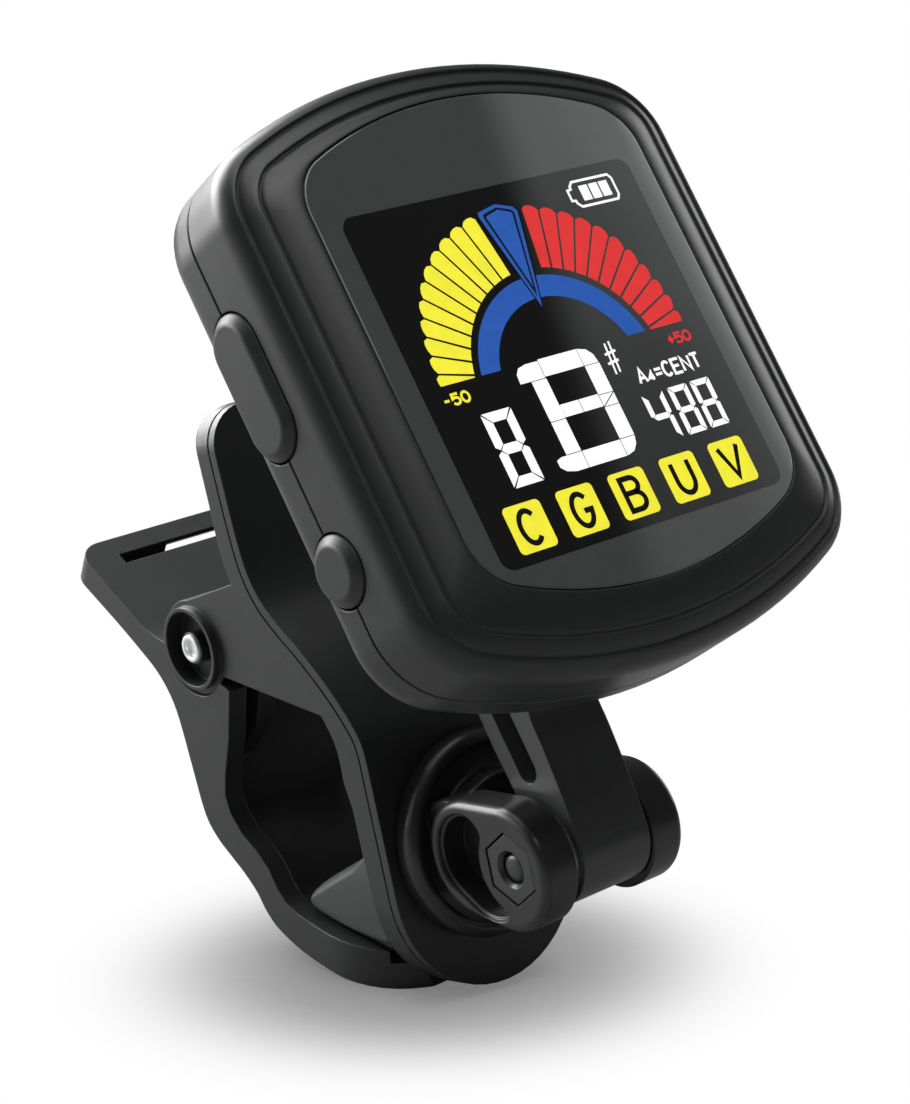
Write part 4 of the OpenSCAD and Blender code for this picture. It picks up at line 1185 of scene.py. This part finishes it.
path = [FRONT_LEG_END.lerp(coil_point(0), t / 14) for t in range(14)]
path += [coil_point(k / 3) for k in range(COIL_STEPS * 3 + 1)]
coil_end = path[-1]
path += [coil_end.lerp(REAR_LEG_END, (t + 1) / 10) for t in range(10)]
wire_verts = []
for k, point in enumerate(path):
    along = (path[min(k + 1, len(path) - 1)] - path[max(k - 1, 0)]).normalized()
    side = Vector((1, 0, 0))
    side = (side - along * side.dot(along)).normalized()
    over = along.cross(side)
    for j in range(WIRE_SIDES):
        t = 2 * math.pi * j / WIRE_SIDES
        wire_verts.append(tuple(point + side * math.cos(t) * WIRE_R
                                + over * math.sin(t) * WIRE_R))
spring = make("spring_wire", skin(wire_verts, WIRE_SIDES, len(path)), None, "spring",
              "spring_steel", flat_angle=50)
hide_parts("torsion_spring")
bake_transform(spring)

# ------------------------------------------------------------------ floor, in metres
UP = Vector((0.12, -0.53, 0.84)).normalized()  # the floor's normal: the tuner leans on it
CENTRE = Vector((0, -0.022, 0.024))
FLOOR_HALF = 1.6
lowest = min(v.co.dot(UP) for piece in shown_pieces() for v in piece.data.vertices)
floor_side = UP.cross(Vector((1, 0, 0))).normalized()
floor_side2 = UP.cross(floor_side).normalized()
floor_centre = CENTRE - UP * (CENTRE.dot(UP) - lowest)


def paper_material():
    """White paper to the camera, with a painted soft pool of shadow and painted contact shade;
    plain grey to the light.
    """
    material, tree, output = new_tree("floor_paper")
    geometry = add_node(tree, "NewGeometry").outputs
    from_centre = add_node(tree, "VectorMath",
                           {0: geometry["Position"], 1: tuple(floor_centre)},
                           operation="SUBTRACT").outputs[0]

    def squared_distance(axis, centre_mm, radius_mm):
        """Square of the distance along an axis, in radii of the pool."""
        reach = add_node(tree, "VectorMath", {0: from_centre, 1: tuple(axis)},
                         operation="DOT_PRODUCT").outputs["Value"]
        radii = maths(tree, "MULTIPLY_ADD", reach, 1000.0 / radius_mm, -centre_mm / radius_mm)
        return maths(tree, "MULTIPLY", radii, radii)

    def darken(shade, amount):
        return maths(tree, "MULTIPLY", shade, maths(tree, "SUBTRACT", 1.0, amount))

    r2 = maths(tree, "ADD", squared_distance(floor_side, centre_mm=2.561, radius_mm=20.675),
               squared_distance(floor_side2, centre_mm=-3.367, radius_mm=22.451))
    falloff = maths(tree, "MULTIPLY", maths(tree, "POWER", r2, 2.154), -1.0)
    pool = maths(tree, "EXPONENT", falloff)
    occlusion = add_node(tree, "AmbientOcclusion", {"Distance": 0.004}, samples=8).outputs["AO"]
    contact = smooth_step(tree, occlusion, 0.0, 1.0, low=0.35, high=0.0)
    fibre_in_shadow = noise(tree, geometry["Position"], scale=900)
    # painted shadow: the pool, the contact shade and a faint speckle darken the white
    paper = maths(tree, "SUBTRACT", 1.0, maths(tree, "MULTIPLY", pool, 0.708))
    paper = darken(paper, maths(tree, "MULTIPLY", contact, pool))
    paper = darken(paper, maths(tree, "MULTIPLY", pool,
                                smooth_step(tree, fibre_in_shadow, 0.2, 0.8, high=0.04)))
    white = add_node(tree, "Emission", {"Strength": paper}).outputs[0]
    grey = add_node(tree, "BsdfDiffuse", {0: (0.3, 0.3, 0.3, 1)}).outputs[0]
    to_camera = add_node(tree, "LightPath").outputs["Is Camera Ray"]
    seen = add_node(tree, "MixShader", {0: to_camera, 1: grey, 2: white}).outputs[0]
    # seen from below, the floor is not there
    clear = add_node(tree, "BsdfTransparent").outputs[0]
    one_sided = add_node(tree, "MixShader", {0: geometry["Backfacing"], 1: seen, 2: clear})
    set_inputs(tree, output, {0: one_sided.outputs[0]})
    return material


floor_mesh = bpy.data.meshes.new("floor")
floor_mesh.from_pydata(
    [tuple(floor_centre + floor_side * a * FLOOR_HALF + floor_side2 * b * FLOOR_HALF)
     for a, b in ((-1, -1), (1, -1), (1, 1), (-1, 1))], [], [(0, 1, 2, 3)])
floor = bpy.data.objects.new("floor", floor_mesh)
bpy.context.scene.collection.objects.link(floor)
floor_mesh.materials.append(paper_material())
floor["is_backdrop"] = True

# ------------------------------------------------------------------ world
WHITE = (1, 1, 1, 1)
world = bpy.data.worlds.new("studio")
bpy.context.scene.world = world
world.use_nodes = True
sky = world.node_tree
sky.nodes.clear()
sky_output = add_node(sky, "OutputWorld")
backdrop = add_node(sky, "Background", {0: WHITE, 1: 1.0})    # what the camera sees
ambient = add_node(sky, "Background", {0: WHITE, 1: 0.078})   # what lights the tuner
is_camera = add_node(sky, "LightPath").outputs["Is Camera Ray"]
sky_mix = add_node(sky, "MixShader", {0: is_camera, 1: ambient.outputs[0],
                                      2: backdrop.outputs[0]})
set_inputs(sky, sky_output, {0: sky_mix.outputs[0]})

# ------------------------------------------------------------------ lights
LAMP_DISTANCE = 0.55
# name, direction from the tuner, size in metres, power in watts
LAMPS = [
    ("back_top", (0, 0.4, 0.9), 0.4, 5.3),
    ("back_left", (-0.5, 0.5, 0.7), 0.3, 2.6),
    ("top_soft", (0.12, -0.53, 0.84), 0.4, 0.98),
    ("front_top", (0, -0.9, 0.5), 0.3, 0.67),
    ("right_soft", (1, 0, 0.2), 0.3, 0.54),
    ("left_soft", (-0.8, 0, 0.6), 0.3, 0.24)]
for name, direction, size, power in LAMPS:
    light = bpy.data.lights.new(name, "AREA")
    light.shape = "RECTANGLE"
    light.size = size
    light.size_y = size
    light.energy = power
    lamp = bpy.data.objects.new(name, light)
    bpy.context.scene.collection.objects.link(lamp)
    lamp.location = CENTRE + Vector(direction).normalized() * LAMP_DISTANCE
    lamp.rotation_euler = (CENTRE - lamp.location).to_track_quat("-Z", "Y").to_euler()

# ------------------------------------------------------------------ camera
CAMERA_PLACE = Vector((-0.13218280, -0.19663465, -0.01470578))
# columns are the camera's right, its up and the direction behind it
CAMERA_TURN = Matrix(((0.75836, 0.24477, -0.60413),
                      (-0.49781, -0.38084, -0.77920),
                      (-0.42080, 0.89165, -0.16697)))
lens_data = bpy.data.cameras.new("camera")
lens_data.sensor_fit = "AUTO"
lens_data.sensor_width = 36
lens_data.lens = 90.70
lens_data.clip_start = 0.005
lens_data.clip_end = 20
camera = bpy.data.objects.new("camera", lens_data)
bpy.context.scene.collection.objects.link(camera)
camera.matrix_world = Matrix.Translation(CAMERA_PLACE) @ CAMERA_TURN.to_4x4()
bpy.context.scene.camera = camera
bpy.context.scene.view_settings.view_transform = "Standard"
bpy.context.scene.view_settings.look = "None"
